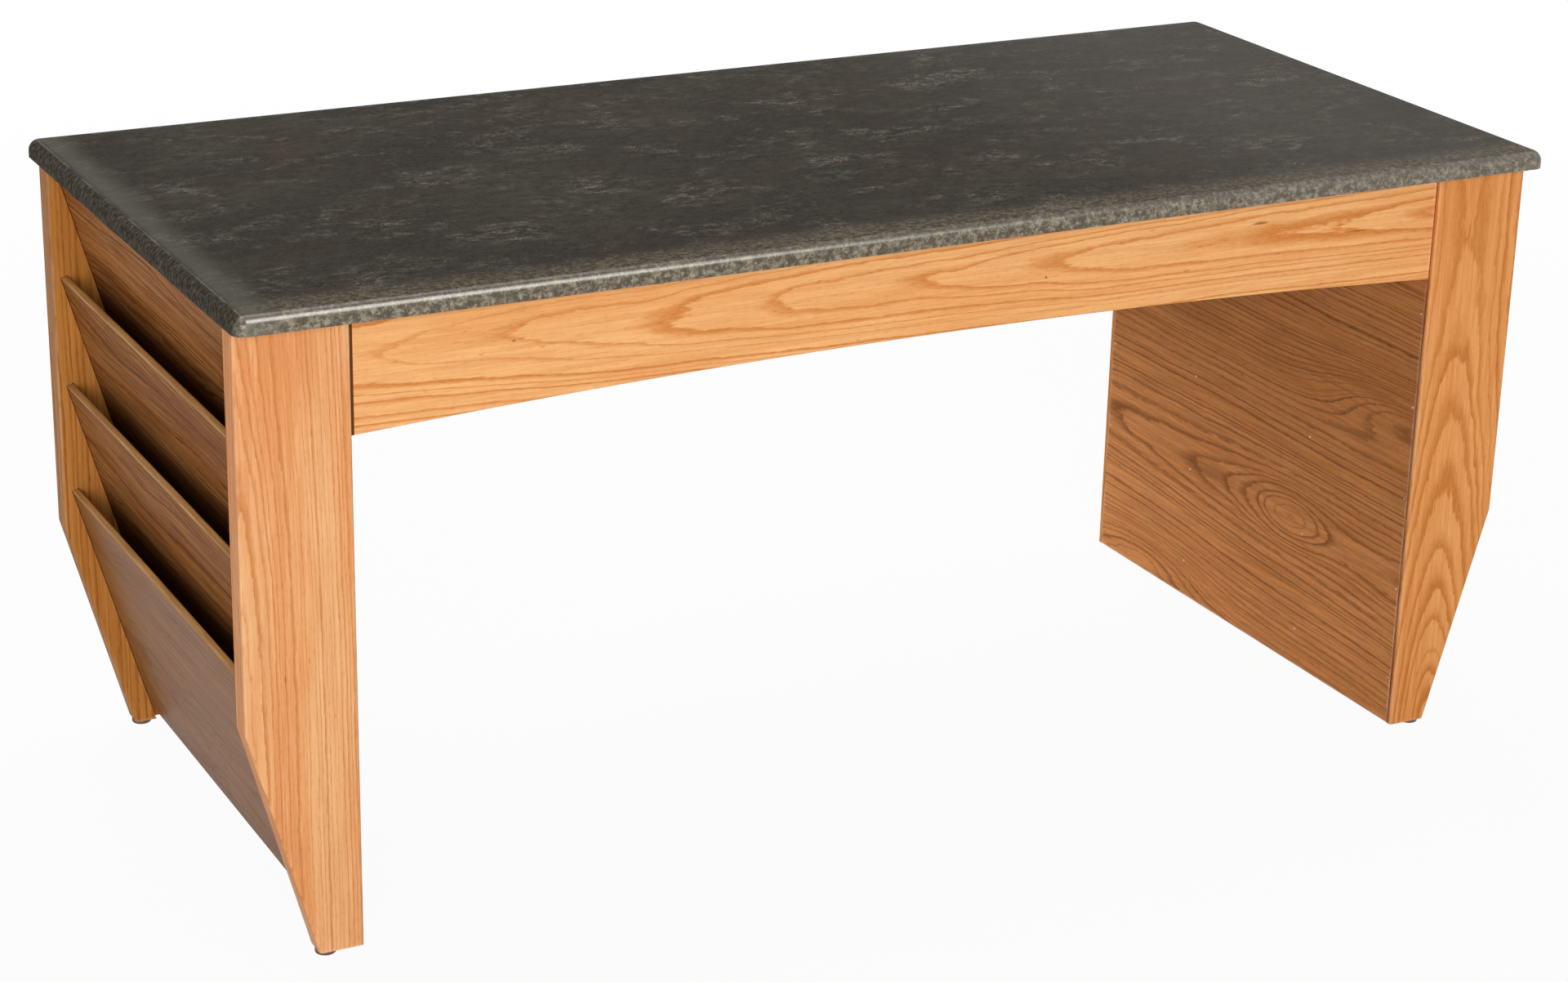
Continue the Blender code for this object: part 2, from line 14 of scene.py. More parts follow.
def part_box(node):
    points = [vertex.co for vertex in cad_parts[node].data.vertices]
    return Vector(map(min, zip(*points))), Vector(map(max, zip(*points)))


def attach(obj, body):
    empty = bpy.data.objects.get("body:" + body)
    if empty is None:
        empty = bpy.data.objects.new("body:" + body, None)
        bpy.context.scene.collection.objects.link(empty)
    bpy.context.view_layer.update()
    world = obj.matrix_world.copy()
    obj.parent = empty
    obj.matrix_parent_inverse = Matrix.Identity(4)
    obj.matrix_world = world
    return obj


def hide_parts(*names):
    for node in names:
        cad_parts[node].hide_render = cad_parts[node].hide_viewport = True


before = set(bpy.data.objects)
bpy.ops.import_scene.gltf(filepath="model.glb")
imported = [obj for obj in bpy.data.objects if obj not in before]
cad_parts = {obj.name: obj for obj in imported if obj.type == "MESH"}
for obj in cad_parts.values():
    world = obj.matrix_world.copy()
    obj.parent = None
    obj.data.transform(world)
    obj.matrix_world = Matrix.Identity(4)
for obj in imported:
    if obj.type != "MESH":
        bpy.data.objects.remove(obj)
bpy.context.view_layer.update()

# ------------------------------------------------------------- Leg boards
# Four solid oak boards stand upright at the corners, sawn to a taper below.
# The long edges are eased by sander. The inner faces are routed for the end
# panel and for four slanted pocket panels.

SIDES = {"left": -1, "right": 1}
FACES = {"front": -1, "rear": 1}
FIT_GAP = 0.0003
CUT_OVERRUN = 0.002
LEG_BACK_Y = 0.1921
LEG_FACE_Y = 0.2111
LEG_INNER_X = 0.4208
FOOT_OUTER_X = 0.4518
LEG_OUTER_X = 0.4978
LEG_FOOT_Z = 0.004
TAPER_TOP_Z = 0.1705
FRAME_TOP = 0.444
LEG_EDGE_RADIUS = 0.002
LEG_EDGE_STEPS = 5
LEG_SHORTEST_EDGE = 0.05
SHADED_SEAM_WIDTH = 0.0004
SHARP_ANGLE = math.radians(35)

POCKET_LEVELS = {"back": -1, "upper": 0, "middle": 1, "lower": 2}
POCKET_TOP_X = 0.4912
POCKET_TOP_Z = 0.3609
POCKET_FOOT_X = 0.4391
POCKET_PITCH = 0.0816
POCKET_DROP = 0.1817
POCKET_LEAN = math.atan2(POCKET_TOP_X - POCKET_FOOT_X, POCKET_DROP)
POCKET_THICKNESS = 0.0055
SLOT_DEPTH = 0.0064
RABBET_OUTER_X = 0.4266
RABBET_FACE_Y = 0.2063


def put(socket, value):
    """Give a socket a plain value, or link another node's output to it."""
    if isinstance(value, bpy.types.NodeSocket):
        socket.id_data.links.new(value, socket)
    else:
        socket.default_value = value


def add_node(kind, inputs=(), out=0, tree=None, **settings):
    """Add a node to the tree of those that feed it, and return one of its outputs.

    It returns all of them where out is None.
    """
    inputs = dict(inputs)
    if tree is None:
        tree = next(value.id_data for value in inputs.values()
                    if isinstance(value, bpy.types.NodeSocket))
    node = tree.nodes.new(kind)
    for name, value in settings.items():
        setattr(node, name, value)
    for name, value in inputs.items():
        put(node.inputs[name], value)
    return node.outputs if out is None else node.outputs[out]


def calc(operation, *values):
    return add_node("ShaderNodeMath", enumerate(values), operation=operation)


def plus(first, second):
    return calc("ADD", first, second)


def minus(first, second):
    return calc("SUBTRACT", first, second)


def times(first, second):
    return calc("MULTIPLY", first, second)


def vector_calc(operation, *values):
    out = "Value" if operation == "LENGTH" else "Vector"
    return add_node("ShaderNodeVectorMath", enumerate(values), out, operation=operation)


def split(vector):
    """The x, y and z of a vector."""
    return add_node("ShaderNodeSeparateXYZ", {0: vector}, out=None)


def noise(vector, per_metre, detail=2.0, roughness=0.5, distortion=0.0):
    """Noise with its own number of waves per metre along each direction."""
    return add_node("ShaderNodeTexNoise", {
        "Vector": vector_calc("MULTIPLY", vector, per_metre), "Scale": 1.0, "Detail": detail,
        "Roughness": roughness, "Distortion": distortion})


def fade(value, start, end, low=0.0, high=1.0):
    """Smooth step from low to high while the value goes from start to end."""
    return add_node("ShaderNodeMapRange", {
        "Value": value, "From Min": start, "From Max": end, "To Min": low, "To Max": high},
        interpolation_type="SMOOTHSTEP")


def paint(card):
    """Linear colour of a paint card that reads these three numbers up to 255."""
    shares = [value / 255 for value in card]
    return (*(share / 12.92 if share <= 0.04045 else ((share + 0.055) / 1.055) ** 2.4
              for share in shares), 1.0)


def mix(share, first, second, blend_type="MIX"):
    """Mix of two colours. One given as three numbers is a paint card."""
    first, second = (paint(colour) if isinstance(colour, tuple) and len(colour) == 3 else colour
                     for colour in (first, second))
    return add_node("ShaderNodeMix", {0: share, 6: first, 7: second}, out=2,
                    data_type="RGBA", blend_type=blend_type)


def new_group(name, inputs, outputs):
    """Shader group. An input without a default is a vector, and every output a number."""
    tree = bpy.data.node_groups.new(name, "ShaderNodeTree")
    for input_name, default in inputs.items():
        kind = "NodeSocketVector" if default is None else "NodeSocketFloat"
        socket = tree.interface.new_socket(name=input_name, in_out="INPUT", socket_type=kind)
        if default is not None:
            socket.default_value = default
    for output_name in outputs:
        tree.interface.new_socket(name=output_name, in_out="OUTPUT", socket_type="NodeSocketFloat")
    entry = tree.nodes.new("NodeGroupInput").outputs
    result = tree.nodes.new("NodeGroupOutput").inputs
    return tree, entry, result


def use_group(group, **values):
    """Place a group. An underscore in a keyword stands for a space."""
    inputs = {name.replace("_", " "): value for name, value in values.items()}
    return add_node("ShaderNodeGroup", inputs, out=None, node_tree=group)


def growth_rings_group():
    """Growth rings of a plain-sawn board, as a count of rings from the heart.

    The board lies Heart Depth from the tree's heart. Along the board that
    depth changes by Taper and Bend, which opens the pointed arches. Wander
    and Ripple bend the rings, and Eyes are rings added from elsewhere.
    """
    tree, given, result = new_group("Growth rings", {
        "Vector": None, "Heart Line": 0.0, "Lean": 0.0, "Heart Depth": 0.02, "Taper": 0.03,
        "Bend": 0.0, "Ring Width": 0.003, "Eyes": 0.0, "Wander": 0.004, "Ripple": 0.0006,
        "Seed": 0.0}, ["Rings"])
    along, across, deep = split(given["Vector"])
    place = vector_calc("ADD", given["Vector"],
                        vector_calc("MULTIPLY", given["Seed"], (1.7, 3.1, 5.3)))
    slow = minus(noise(place, (4.5, 14, 14), 1.5), 0.5)
    quick = minus(noise(place, (32, 95, 95), 1.5), 0.5)
    sway = minus(noise(vector_calc("ADD", place, (9.1, 4.7, 2.3)), (7, 20, 20), 2.0), 0.5)
    across = minus(minus(across, given["Heart Line"]), times(along, given["Lean"]))
    across = plus(plus(across, times(slow, given["Wander"])), times(quick, given["Ripple"]))
    slope = plus(given["Taper"], times(along, given["Bend"]))
    depth = plus(plus(given["Heart Depth"], times(along, slope)), deep)
    depth = plus(plus(depth, times(sway, given["Wander"])), times(quick, given["Ripple"]))
    radius = calc("SQRT", plus(times(across, across), times(depth, depth)))
    rings = plus(calc("DIVIDE", radius, given["Ring Width"]), given["Eyes"])
    years = add_node("ShaderNodeTexNoise", {
        "W": plus(times(rings, 0.31), given["Seed"]), "Scale": 1.0, "Detail": 1.0},
        noise_dimensions="1D")
    put(result["Rings"], plus(rings, times(years, 2.2)))
    return tree


def oak_grain_group():
    """Open-pored grain drawn over a count of rings: bands, fibres and pores."""
    tree, given, result = new_group("Oak grain", {
        "Vector": None, "Rings": 0.0, "Band Width": 0.42, "Fuzz": 0.22, "Pore Share": 0.5},
        ["Bands", "Streaks", "Fibre", "Pores", "Height"])
    board = given["Vector"]
    ragged = plus(noise(board, (55, 420, 420), 1.0),
                  times(noise(board, (160, 1500, 1500), 1.0), 0.5))
    rings = plus(given["Rings"], times(minus(ragged, 0.75), given["Fuzz"]))
    chance = add_node("ShaderNodeTexWhiteNoise", {"W": calc("FLOOR", rings)}, "Value",
                      noise_dimensions="1D")
    phase = calc("FRACT", rings)
    width = times(given["Band Width"], fade(chance, 0.0, 1.0, 0.6, 1.4))
    decay = fade(phase, times(width, 0.12), width, 1.0, 0.0)
    bands = times(times(fade(phase, 0.0, 0.09), decay), fade(chance, 0.0, 1.0, 0.6, 1.0))
    fibre = noise(board, (16, 720, 720), 3.0, 0.7)
    dots = noise(board, (150, 2300, 2300), 1.0)
    threshold = minus(0.62, times(bands, 0.12))
    pores = times(fade(minus(dots, threshold), 0.0, 0.06), given["Pore Share"])
    pins = fade(noise(board, (95, 420, 420), 0.0), 0.845, 0.87)
    height = minus(times(fibre, 0.35), plus(pores, times(bands, 0.35)))
    for name, value in (
            ("Bands", bands), ("Streaks", noise(board, (11, 250, 250), 3.0, 0.65)),
            ("Fibre", fibre), ("Pores", calc("MAXIMUM", pores, pins)), ("Height", height)):
        put(result[name], value)
    return tree


def edge_wear_group():
    """Share of rubbed edge near the edges of a box, broken up by noise."""
    tree, given, result = new_group(
        "Edge wear", {"Vector": None, "Low": None, "High": None, "Reach": 0.002}, ["Wear"])
    low = vector_calc("SUBTRACT", given["Vector"], given["Low"])
    high = vector_calc("SUBTRACT", given["High"], given["Vector"])
    x, y, z = split(vector_calc("MINIMUM", low, high))
    second = calc("MAXIMUM", calc("MINIMUM", x, y), calc("MINIMUM", calc("MAXIMUM", x, y), z))
    patchy = noise(given["Vector"], (60, 60, 60), 3.0)
    share = minus(1.0, calc("DIVIDE", second, times(given["Reach"], plus(patchy, 0.5))))
    worn = add_node("ShaderNodeClamp", {"Value": share})
    put(result["Wear"], times(worn, fade(patchy, 0.35, 0.6, 0.4, 1.0)))
    return tree


growth_rings = growth_rings_group()
oak_grain = oak_grain_group()
edge_wear = edge_wear_group()

# Turns that lay a board's own directions, along, across and deep, on X, Y and Z.
ALONG_X = (math.radians(-90), 0, 0)
ALONG_Y = (math.radians(-90), math.radians(-90), 0)
ALONG_Z = (math.radians(90), 0, math.radians(90))


def new_finish(name, roughness=0.5, specular=0.5, metallic=0.0):
    """Material with a bare Principled shader, and its Object coordinates."""
    finish = bpy.data.materials.new(name)
    finish.use_nodes = True
    shader = finish.node_tree.nodes["Principled BSDF"].inputs
    shader["Roughness"].default_value = roughness
    shader["Specular IOR Level"].default_value = specular
    shader["Metallic"].default_value = metallic
    place = add_node("ShaderNodeTexCoord", out="Object", tree=finish.node_tree)
    return finish, shader, place


def lay_on(shader, colour, roughness, height, depth, strength=1.0):
    """Give a finish its colour, its roughness and a relief this many metres deep."""
    put(shader["Base Color"], colour)
    put(shader["Roughness"], roughness)
    put(shader["Normal"], add_node("ShaderNodeBump", {
        "Height": height, "Distance": depth, "Strength": strength}))


def on_board(place, turn, start=(0, 0, 0)):
    """The place in a board's own directions, along, across and deep, from its start."""
    return add_node("ShaderNodeMapping", {
        "Vector": place, "Rotation": turn, "Location": [-value for value in start]})


def grain_figure(board, rings, grain, swell=0.0):
    """Oak grain over the growth rings of one board."""
    count = use_group(growth_rings, Vector=board, Eyes=swell, **rings)["Rings"]
    return use_group(oak_grain, Vector=board, Rings=count, **grain)


def wood_finish(name, turn, start, light, dark, warm, box, rings, grain, eyes=(), marks=(),
                roughness=0.42, pore_tint=(0.72, 0.62, 0.5, 1), tone_share=0.6,
                streak_share=0.4, gloss=0.025, shaded_seams=None, painted_light_low=0.0):
    """Lacquered board: its rings and eyes, the grain over them, and worn edges.

    start is the place in the board's own directions that its rings count from.
    A mark is a dark spot at (along, across), of a half length, half height and share.
    """
    finish, shader, place = new_finish(name, roughness, gloss)
    board = on_board(place, turn, start)
    swell = 0.0
    for eye in eyes:
        swell = use_group(grain_eye, Vector=board, Rings=swell, **eye)["Rings"]
    figure = grain_figure(board, rings, grain, swell)
    tone = fade(noise(board, (3.2, 26, 26), 2.5), 0.38, 0.66)
    wood = mix(times(tone, tone_share), light, warm)
    wood = mix(fade(figure["Streaks"], 0.36, 0.6, streak_share, 0.0), wood, dark)
    wood = mix(fade(figure["Streaks"], 0.52, 0.7, 0.0, 0.6), wood, light)
    broken = fade(figure["Fibre"], 0.34, 0.6, 0.75, 1.0)
    wood = mix(times(figure["Bands"], broken), wood, dark)
    wood = mix(fade(figure["Fibre"], 0.32, 0.6, streak_share * 0.8, 0.0), wood, dark)
    wood = mix(figure["Pores"], wood, mix(1.0, wood, pore_tint, "MULTIPLY"))
    for along, across, half_length, half_height, share in marks:
        apart = vector_calc("SUBTRACT", board, (along, across, 0))
        apart = vector_calc("MULTIPLY", apart, (1 / half_length, 1 / half_height, 0))
        apart = plus(vector_calc("LENGTH", apart), minus(figure["Fibre"], 0.5))
        wood = mix(fade(apart, 0.3, 1.0, share, 0.0), wood, (96, 50, 20))
    worn = use_group(edge_wear, Vector=place, Low=box[0], High=box[1], Reach=0.0022)["Wear"]
    rubbed = [sum(pair) / 2 for pair in zip(paint(light), (1, 0.93, 0.8, 1))]
    wood = mix(times(worn, 0.35), wood, rubbed)
    x, _, z = split(place)
    # A dark line at the ends where the board meets the legs: a glue line with painted shade in the
    # joint.
    if shaded_seams:
        left, right = shaded_seams
        seam_glue_and_shade = calc("MAXIMUM", fade(x, left, left - SHADED_SEAM_WIDTH), fade(x, right, right + SHADED_SEAM_WIDTH))
        wood = mix(seam_glue_and_shade, wood, (104, 62, 34))
    # Painted light: the lower part is painted paler, as light thrown up from the floor.
    wood = mix(fade(z, 0.29, 0.04, 0.0, painted_light_low), wood, (1.46, 1.54, 1.66, 1), "MULTIPLY")
    shine = plus(roughness - 0.05, times(plus(figure["Bands"], figure["Pores"]), 0.12))
    lay_on(shader, wood, shine, figure["Height"], 0.00012, 0.8)
    return finish


def add_prism(shape, outline, low, high):
    """Extrude an (x, z) outline along Y."""
    corners = [shape.verts.new((x, low, z)) for x, z in outline]
    face = shape.faces.new(corners)
    extruded = bmesh.ops.extrude_face_region(shape, geom=[face])["geom"]
    moved = [part for part in extruded if isinstance(part, bmesh.types.BMVert)]
    bmesh.ops.translate(shape, verts=moved, vec=(0, high - low, 0))


def add_box(shape, low, high):
    add_prism(shape, [(low[0], low[2]), (high[0], low[2]), (high[0], high[2]), (low[0], high[2])],
              low[1], high[1])


def to_object(name, shape, *finishes):
    """Turn a bmesh into an object whose faces point out."""
    bmesh.ops.recalc_face_normals(shape, faces=shape.faces)
    mesh = bpy.data.meshes.new(name)
    shape.to_mesh(mesh)
    shape.free()
    mesh.shade_smooth()
    mesh.set_sharp_from_angle(angle=SHARP_ANGLE)
    for finish in finishes:
        mesh.materials.append(finish)
    item = bpy.data.objects.new(name, mesh)
    bpy.context.scene.collection.objects.link(item)
    return item


def settle(item):
    """Work the modifiers into the mesh, so that the piece is a plain mesh."""
    depsgraph = bpy.context.evaluated_depsgraph_get()
    mesh = bpy.data.meshes.new_from_object(item.evaluated_get(depsgraph), depsgraph=depsgraph)
    item.modifiers.clear()
    item.data = mesh
    mesh.name = item.name
    return item


def settle_flat(item):
    """Settle a piece whose large faces keep their own direction beside rounded edges."""
    weighted = item.modifiers.new("flat faces", "WEIGHTED_NORMAL")
    weighted.keep_sharp = True
    weighted.weight = 100
    return settle(item)


def ease(shape, edges, radius, steps):
    """Round these edges of a shape over."""
    bmesh.ops.bevel(shape, geom=edges, offset=radius, segments=steps, profile=0.5,
                    affect="EDGES")


def cut_away(item, *cutters, overlap=False):
    """Cut other shapes out of a piece. Overlap says that a cutter crosses itself."""
    for cutter in cutters:
        step = item.modifiers.new(cutter.name, "BOOLEAN")
        step.solver = "EXACT"
        step.use_self = overlap
        step.object = cutter


def remove_tools(*items):
    for item in items:
        bpy.data.objects.remove(item, do_unlink=True)


def fit(piece, slot, *nodes):
    """Seat a finished piece on the table's one body, in place of its CAD nodes."""
    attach(piece, "root")
    if nodes:
        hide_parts(*nodes)


def pocket_frame(level):
    """A pocket panel's outer top corner, its way down and its way in, as (x, z)."""
    top = Vector((POCKET_TOP_X, POCKET_TOP_Z - level * POCKET_PITCH))
    down = Vector((-math.sin(POCKET_LEAN), -math.cos(POCKET_LEAN)))
    inwards = Vector((-math.cos(POCKET_LEAN), math.sin(POCKET_LEAN)))
    return top, down, inwards


def slot_outline(side, level):
    """Section of the slot that a pocket panel stands in.

    It runs out below, and the back panel's also runs out above.
    """
    top, down, inwards = pocket_frame(level)
    rise = FIT_GAP
    if level == POCKET_LEVELS["back"]:
        rise = (FRAME_TOP + CUT_OVERRUN - top.y) / math.cos(POCKET_LEAN)
    outer = top - inwards * FIT_GAP
    inner = top + inwards * (POCKET_THICKNESS + FIT_GAP)
    run = top.y / math.cos(POCKET_LEAN)
    corners = (outer - down * rise, inner - down * rise, inner + down * run, outer + down * run)
    return [(side * point.x, point.y) for point in corners]


def leg_board(name, side, face, finish):
    shape = bmesh.new()
    outline = [(LEG_INNER_X, LEG_FOOT_Z), (FOOT_OUTER_X, LEG_FOOT_Z), (LEG_OUTER_X, TAPER_TOP_Z),
               (LEG_OUTER_X, FRAME_TOP), (LEG_INNER_X, FRAME_TOP)]
    add_prism(shape, [(side * x, z) for x, z in outline], face * LEG_BACK_Y, face * LEG_FACE_Y)
    long_edges = [edge for edge in shape.edges
                  if abs(edge.verts[0].co.z - edge.verts[1].co.z) > LEG_SHORTEST_EDGE]
    ease(shape, long_edges, LEG_EDGE_RADIUS, LEG_EDGE_STEPS)
    board = to_object(f"{name}_board", shape, finish)
    rabbet = bmesh.new()
    add_box(rabbet, (side * (LEG_INNER_X - CUT_OVERRUN), face * (LEG_BACK_Y - CUT_OVERRUN),
                     LEG_FOOT_Z - CUT_OVERRUN),
            (side * RABBET_OUTER_X, face * RABBET_FACE_Y, FRAME_TOP + CUT_OVERRUN))
    slots = bmesh.new()
    for level in POCKET_LEVELS.values():
        add_prism(slots, slot_outline(side, level), face * (LEG_BACK_Y + SLOT_DEPTH),
                  face * (LEG_BACK_Y - CUT_OVERRUN))
    cutters = [to_object("rabbet", rabbet), to_object("slots", slots)]
    cut_away(board, *cutters)
    settle_flat(board)
    remove_tools(*cutters)
    fit(board, "oak", f"{name}_leg")


# Each board's colours, the place its rings count from (height above the floor,
# across the table, depth) and how it was sawn.
LEG_LOOKS = {
    "front_left": dict(
        light=(251, 193, 138), dark=(218, 140, 80), warm=(241, 164, 106),
        start=(0, -0.452, -0.2111), tone_share=1.0,
        rings=dict(Heart_Line=-0.054, Heart_Depth=0.024, Taper=0.0, Bend=0.07,
                   Ring_Width=0.0028, Wander=0.007, Ripple=0.0005, Seed=1.3),
        grain=dict(Band_Width=0.5, Fuzz=0.45, Pore_Share=0.4)),
    "front_right": dict(
        light=(244, 172, 106), dark=(206, 124, 56), warm=(232, 152, 84),
        start=(0, 0.453, -0.2111),
        rings=dict(Heart_Depth=0.001, Taper=0.24, Bend=-0.30, Ring_Width=0.0050, Wander=0.006,
                   Ripple=0.0026, Seed=2.9),
        grain=dict(Band_Width=0.6, Fuzz=0.3, Pore_Share=0.4)),
    "rear_left": dict(
        light=(197, 134, 66), dark=(152, 92, 38), warm=(184, 118, 56),
        start=(0, -0.46, 0.1921),
        rings=dict(Heart_Line=0.03, Lean=-0.02, Heart_Depth=0.014, Taper=0.05, Bend=-0.06,
                   Ring_Width=0.0040, Wander=0.008, Seed=5.1),
        grain=dict(Band_Width=0.45, Fuzz=0.4, Pore_Share=0.4)),
    "rear_right": dict(
        light=(232, 164, 98), dark=(196, 120, 54), warm=(220, 146, 78),
        start=(0, 0.455, 0.1921),
        rings=dict(Heart_Line=0.004, Lean=0.01, Heart_Depth=0.01, Taper=0.12, Bend=-0.15,
                   Ring_Width=0.0036, Wander=0.006, Ripple=0.001, Seed=7.7),
        grain=dict(Band_Width=0.5, Fuzz=0.35, Pore_Share=0.4)),
}

for corner, look in LEG_LOOKS.items():
    face_name, side_name = corner.split("_")
    oak = wood_finish(f"{corner} leg oak", ALONG_Z, box=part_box(f"{corner}_leg"),
                      streak_share=0.3, **look)
    leg_board(corner, SIDES[side_name], FACES[face_name], oak)

# ----------------------------------------------------------------- Aprons
# A plain-sawn oak board runs between the legs at the front and another at the
# rear, each sawn to a shallow arch below. They are glued to the legs over
# dowels, a little behind the legs' faces.

APRON_END_X = 0.4205
APRON_FACE_Y = 0.2076
APRON_BACK_Y = 0.1886
APRON_END_Z = 0.3627
ARCH_RISE = 0.0122
ARCH_STEPS = 96
ARCH_EDGE_RADIUS = 0.001
ARCH_EDGE_STEPS = 3
# Where the apron's ends meet the legs: a glue line and painted shade.
APRON_SHADED_SEAMS = (-0.4180, 0.4203)


def arch_points():
    """One round arc along the lower edge, from end to end."""
    radius = (APRON_END_X ** 2 + ARCH_RISE ** 2) / (2 * ARCH_RISE)
    sweep = math.asin(APRON_END_X / radius)
    centre = APRON_END_Z + ARCH_RISE - radius
    angles = [sweep * (2 * step / ARCH_STEPS - 1) for step in range(ARCH_STEPS + 1)]
    return [(radius * math.sin(angle), centre + radius * math.cos(angle)) for angle in angles]


def apron_board(name, face, finish):
    shape = bmesh.new()
    outline = arch_points() + [(APRON_END_X, FRAME_TOP), (-APRON_END_X, FRAME_TOP)]
    add_prism(shape, outline, face * APRON_BACK_Y, face * APRON_FACE_Y)
    middle = (APRON_END_Z + FRAME_TOP) / 2
    arch_edges = [edge for edge in shape.edges
                  if all(vert.co.z < middle for vert in edge.verts)
                  and abs(edge.verts[0].co.y - edge.verts[1].co.y) < 1e-6]
    ease(shape, arch_edges, ARCH_EDGE_RADIUS, ARCH_EDGE_STEPS)
    board = to_object(f"{name}_board", shape, finish)
    settle_flat(board)
    fit(board, "oak", name)


APRON_LOOKS = {
    "front_apron": dict(
        light=(255, 194, 130), dark=(222, 136, 66), warm=(247, 175, 110),
        start=(0, 0.4135, 0.2076),
        rings=dict(Heart_Depth=0.0262, Taper=-0.030, Ring_Width=0.0037, Wander=0.008,
                   Ripple=0.0009, Seed=3.4),
        marks=[(0.266, 0.0101, 0.009, 0.0013, 0.7), (0.354, -0.0055, 0.016, 0.0008, 0.6),
               (-0.309, -0.0021, 0.0022, 0.0012, 0.6), (0.089, -0.0085, 0.0012, 0.0016, 0.6)]),
    "rear_apron": dict(
        light=(240, 174, 114), dark=(208, 128, 62), warm=(230, 158, 94),
        start=(0, 0.398, -0.2076),
        rings=dict(Lean=0.01, Heart_Depth=0.02, Taper=0.03, Ring_Width=0.0044, Wander=0.008,
                   Seed=6.2)),
}

for name, look in APRON_LOOKS.items():
    oak = wood_finish(f"{name.replace('_', ' ')} oak", ALONG_X, box=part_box(name),
                      grain=dict(Band_Width=0.42, Fuzz=0.25, Pore_Share=0.45),
                      streak_share=0.3, shaded_seams=APRON_SHADED_SEAMS, **look)
    apron_board(name, FACES[name.split("_")[0]], oak)

# ------------------------------------------------------------ Apron dowels
# Turned beech pins with bevelled ends, two at each joint of an apron and a
# leg. Short flecks run along the wood.

beech, shader, place = new_finish("beech", 0.55, 0.3)
fleck = fade(noise(place, (160, 1400, 1400), 1.0), 0.55, 0.68)
fibre = noise(place, (40, 700, 700), 3.0)
wood = mix(fade(fibre, 0.3, 0.7), (226, 186, 142), (206, 160, 112))
wood = mix(times(fleck, 0.5), wood, (170, 116, 74))
lay_on(shader, wood, fade(fibre, 0.3, 0.7, 0.5, 0.62), fibre, 0.0001)

# -------------------------------------------------------------- End panels
# A thin panel of plywood faced with brown oak veneer closes each end. It lies
# in the legs' rabbets and is held by small brads, driven from inside.

PANEL_EDGE_RADIUS = 0.0004
PANEL_EDGE_STEPS = 2
PANEL_FACING = 0.7


def grain_eye_group():
    """Adds rings round one place, so that they close to an eye or swell there."""
    tree, given, result = new_group("Grain eye", {
        "Vector": None, "Rings": 0.0, "Along": 0.0, "Across": 0.0, "Half Length": 0.05,
        "Half Height": 0.02, "Count": 5.0}, ["Rings"])
    along, across, _ = split(given["Vector"])
    along = calc("DIVIDE", minus(along, given["Along"]), given["Half Length"])
    across = calc("DIVIDE", minus(across, given["Across"]), given["Half Height"])
    square = plus(times(along, along), times(across, across))
    swell = calc("EXPONENT", times(square, -1.0))
    put(result["Rings"], plus(given["Rings"], times(swell, given["Count"])))
    return tree


grain_eye = grain_eye_group()

PANEL_LOOKS = {
    "left": dict(
        light=(210, 138, 74), dark=(148, 86, 40), warm=(192, 118, 58),
        start=(0, 0.30, -0.4263),
        rings=dict(Lean=0.02, Heart_Depth=0.05, Taper=0.08, Ring_Width=0.0037, Wander=0.012,
                   Ripple=0.0008, Seed=11.5),
        eyes=[dict(Along=0.06, Across=-0.12, Half_Length=0.07, Half_Height=0.028, Count=14)],
        painted_light_low=0.6),
    "right": dict(
        light=(204, 136, 79), dark=(136, 83, 45), warm=(192, 122, 66),
        start=(0, 0, 0.4208),
        rings=dict(Heart_Line=0.124, Lean=0.03, Heart_Depth=0.030, Taper=0.045,
                   Ring_Width=0.0043, Wander=0.010, Ripple=0.0004, Seed=9.2),
        eyes=[dict(Along=-0.058, Across=0.124, Half_Length=0.046, Half_Height=0.023, Count=-4.1),
              dict(Along=-0.21, Across=0.248, Half_Length=0.11, Half_Height=0.026, Count=-9),
              dict(Along=0.14, Across=0.022, Half_Length=0.09, Half_Height=0.022, Count=5)],
        marks=[(0.066, 0.124, 0.055, 0.009, 0.35), (0.19, 0.136, 0.03, 0.006, 0.3)], painted_light_low=1.0),
}


def ply_edge_finish(name, middle):
    """Sawn edge of thin plywood: three thin plies, stained by the lacquer."""
    finish, shader, place = new_finish(name, 0.6, 0.25)
    ply = on_board(place, ALONG_Y)
    offset = calc("ABSOLUTE", minus(split(ply)[2], middle))
    fibre = noise(ply, (60, 500, 900), 3.0)
    core = fade(plus(offset, times(fibre, 0.0004)), 0.0013, 0.0015)
    wood = mix(core, (188, 142, 96), (218, 172, 120))
    wood = mix(fade(fibre, 0.4, 0.7, 0.0, 0.5), wood, (120, 82, 50))
    lay_on(shader, wood, fade(fibre, 0.3, 0.7, 0.55, 0.7), fibre, 0.0002)
    return finish


def end_panel(side_name, finish):
    low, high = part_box(f"{side_name}_end_panel")
    shape = bmesh.new()
    add_box(shape, low, high)
    ease(shape, list(shape.edges), PANEL_EDGE_RADIUS, PANEL_EDGE_STEPS)
    edge = ply_edge_finish(f"{side_name} panel ply edge", (low.x + high.x) / 2)
    panel = to_object(f"{side_name}_veneered_panel", shape, finish, edge)
    for face in panel.data.polygons:
        if abs(face.normal.x) < PANEL_FACING:
            face.material_index = 1
    settle_flat(panel)
    fit(panel, "brown_veneer", f"{side_name}_end_panel")


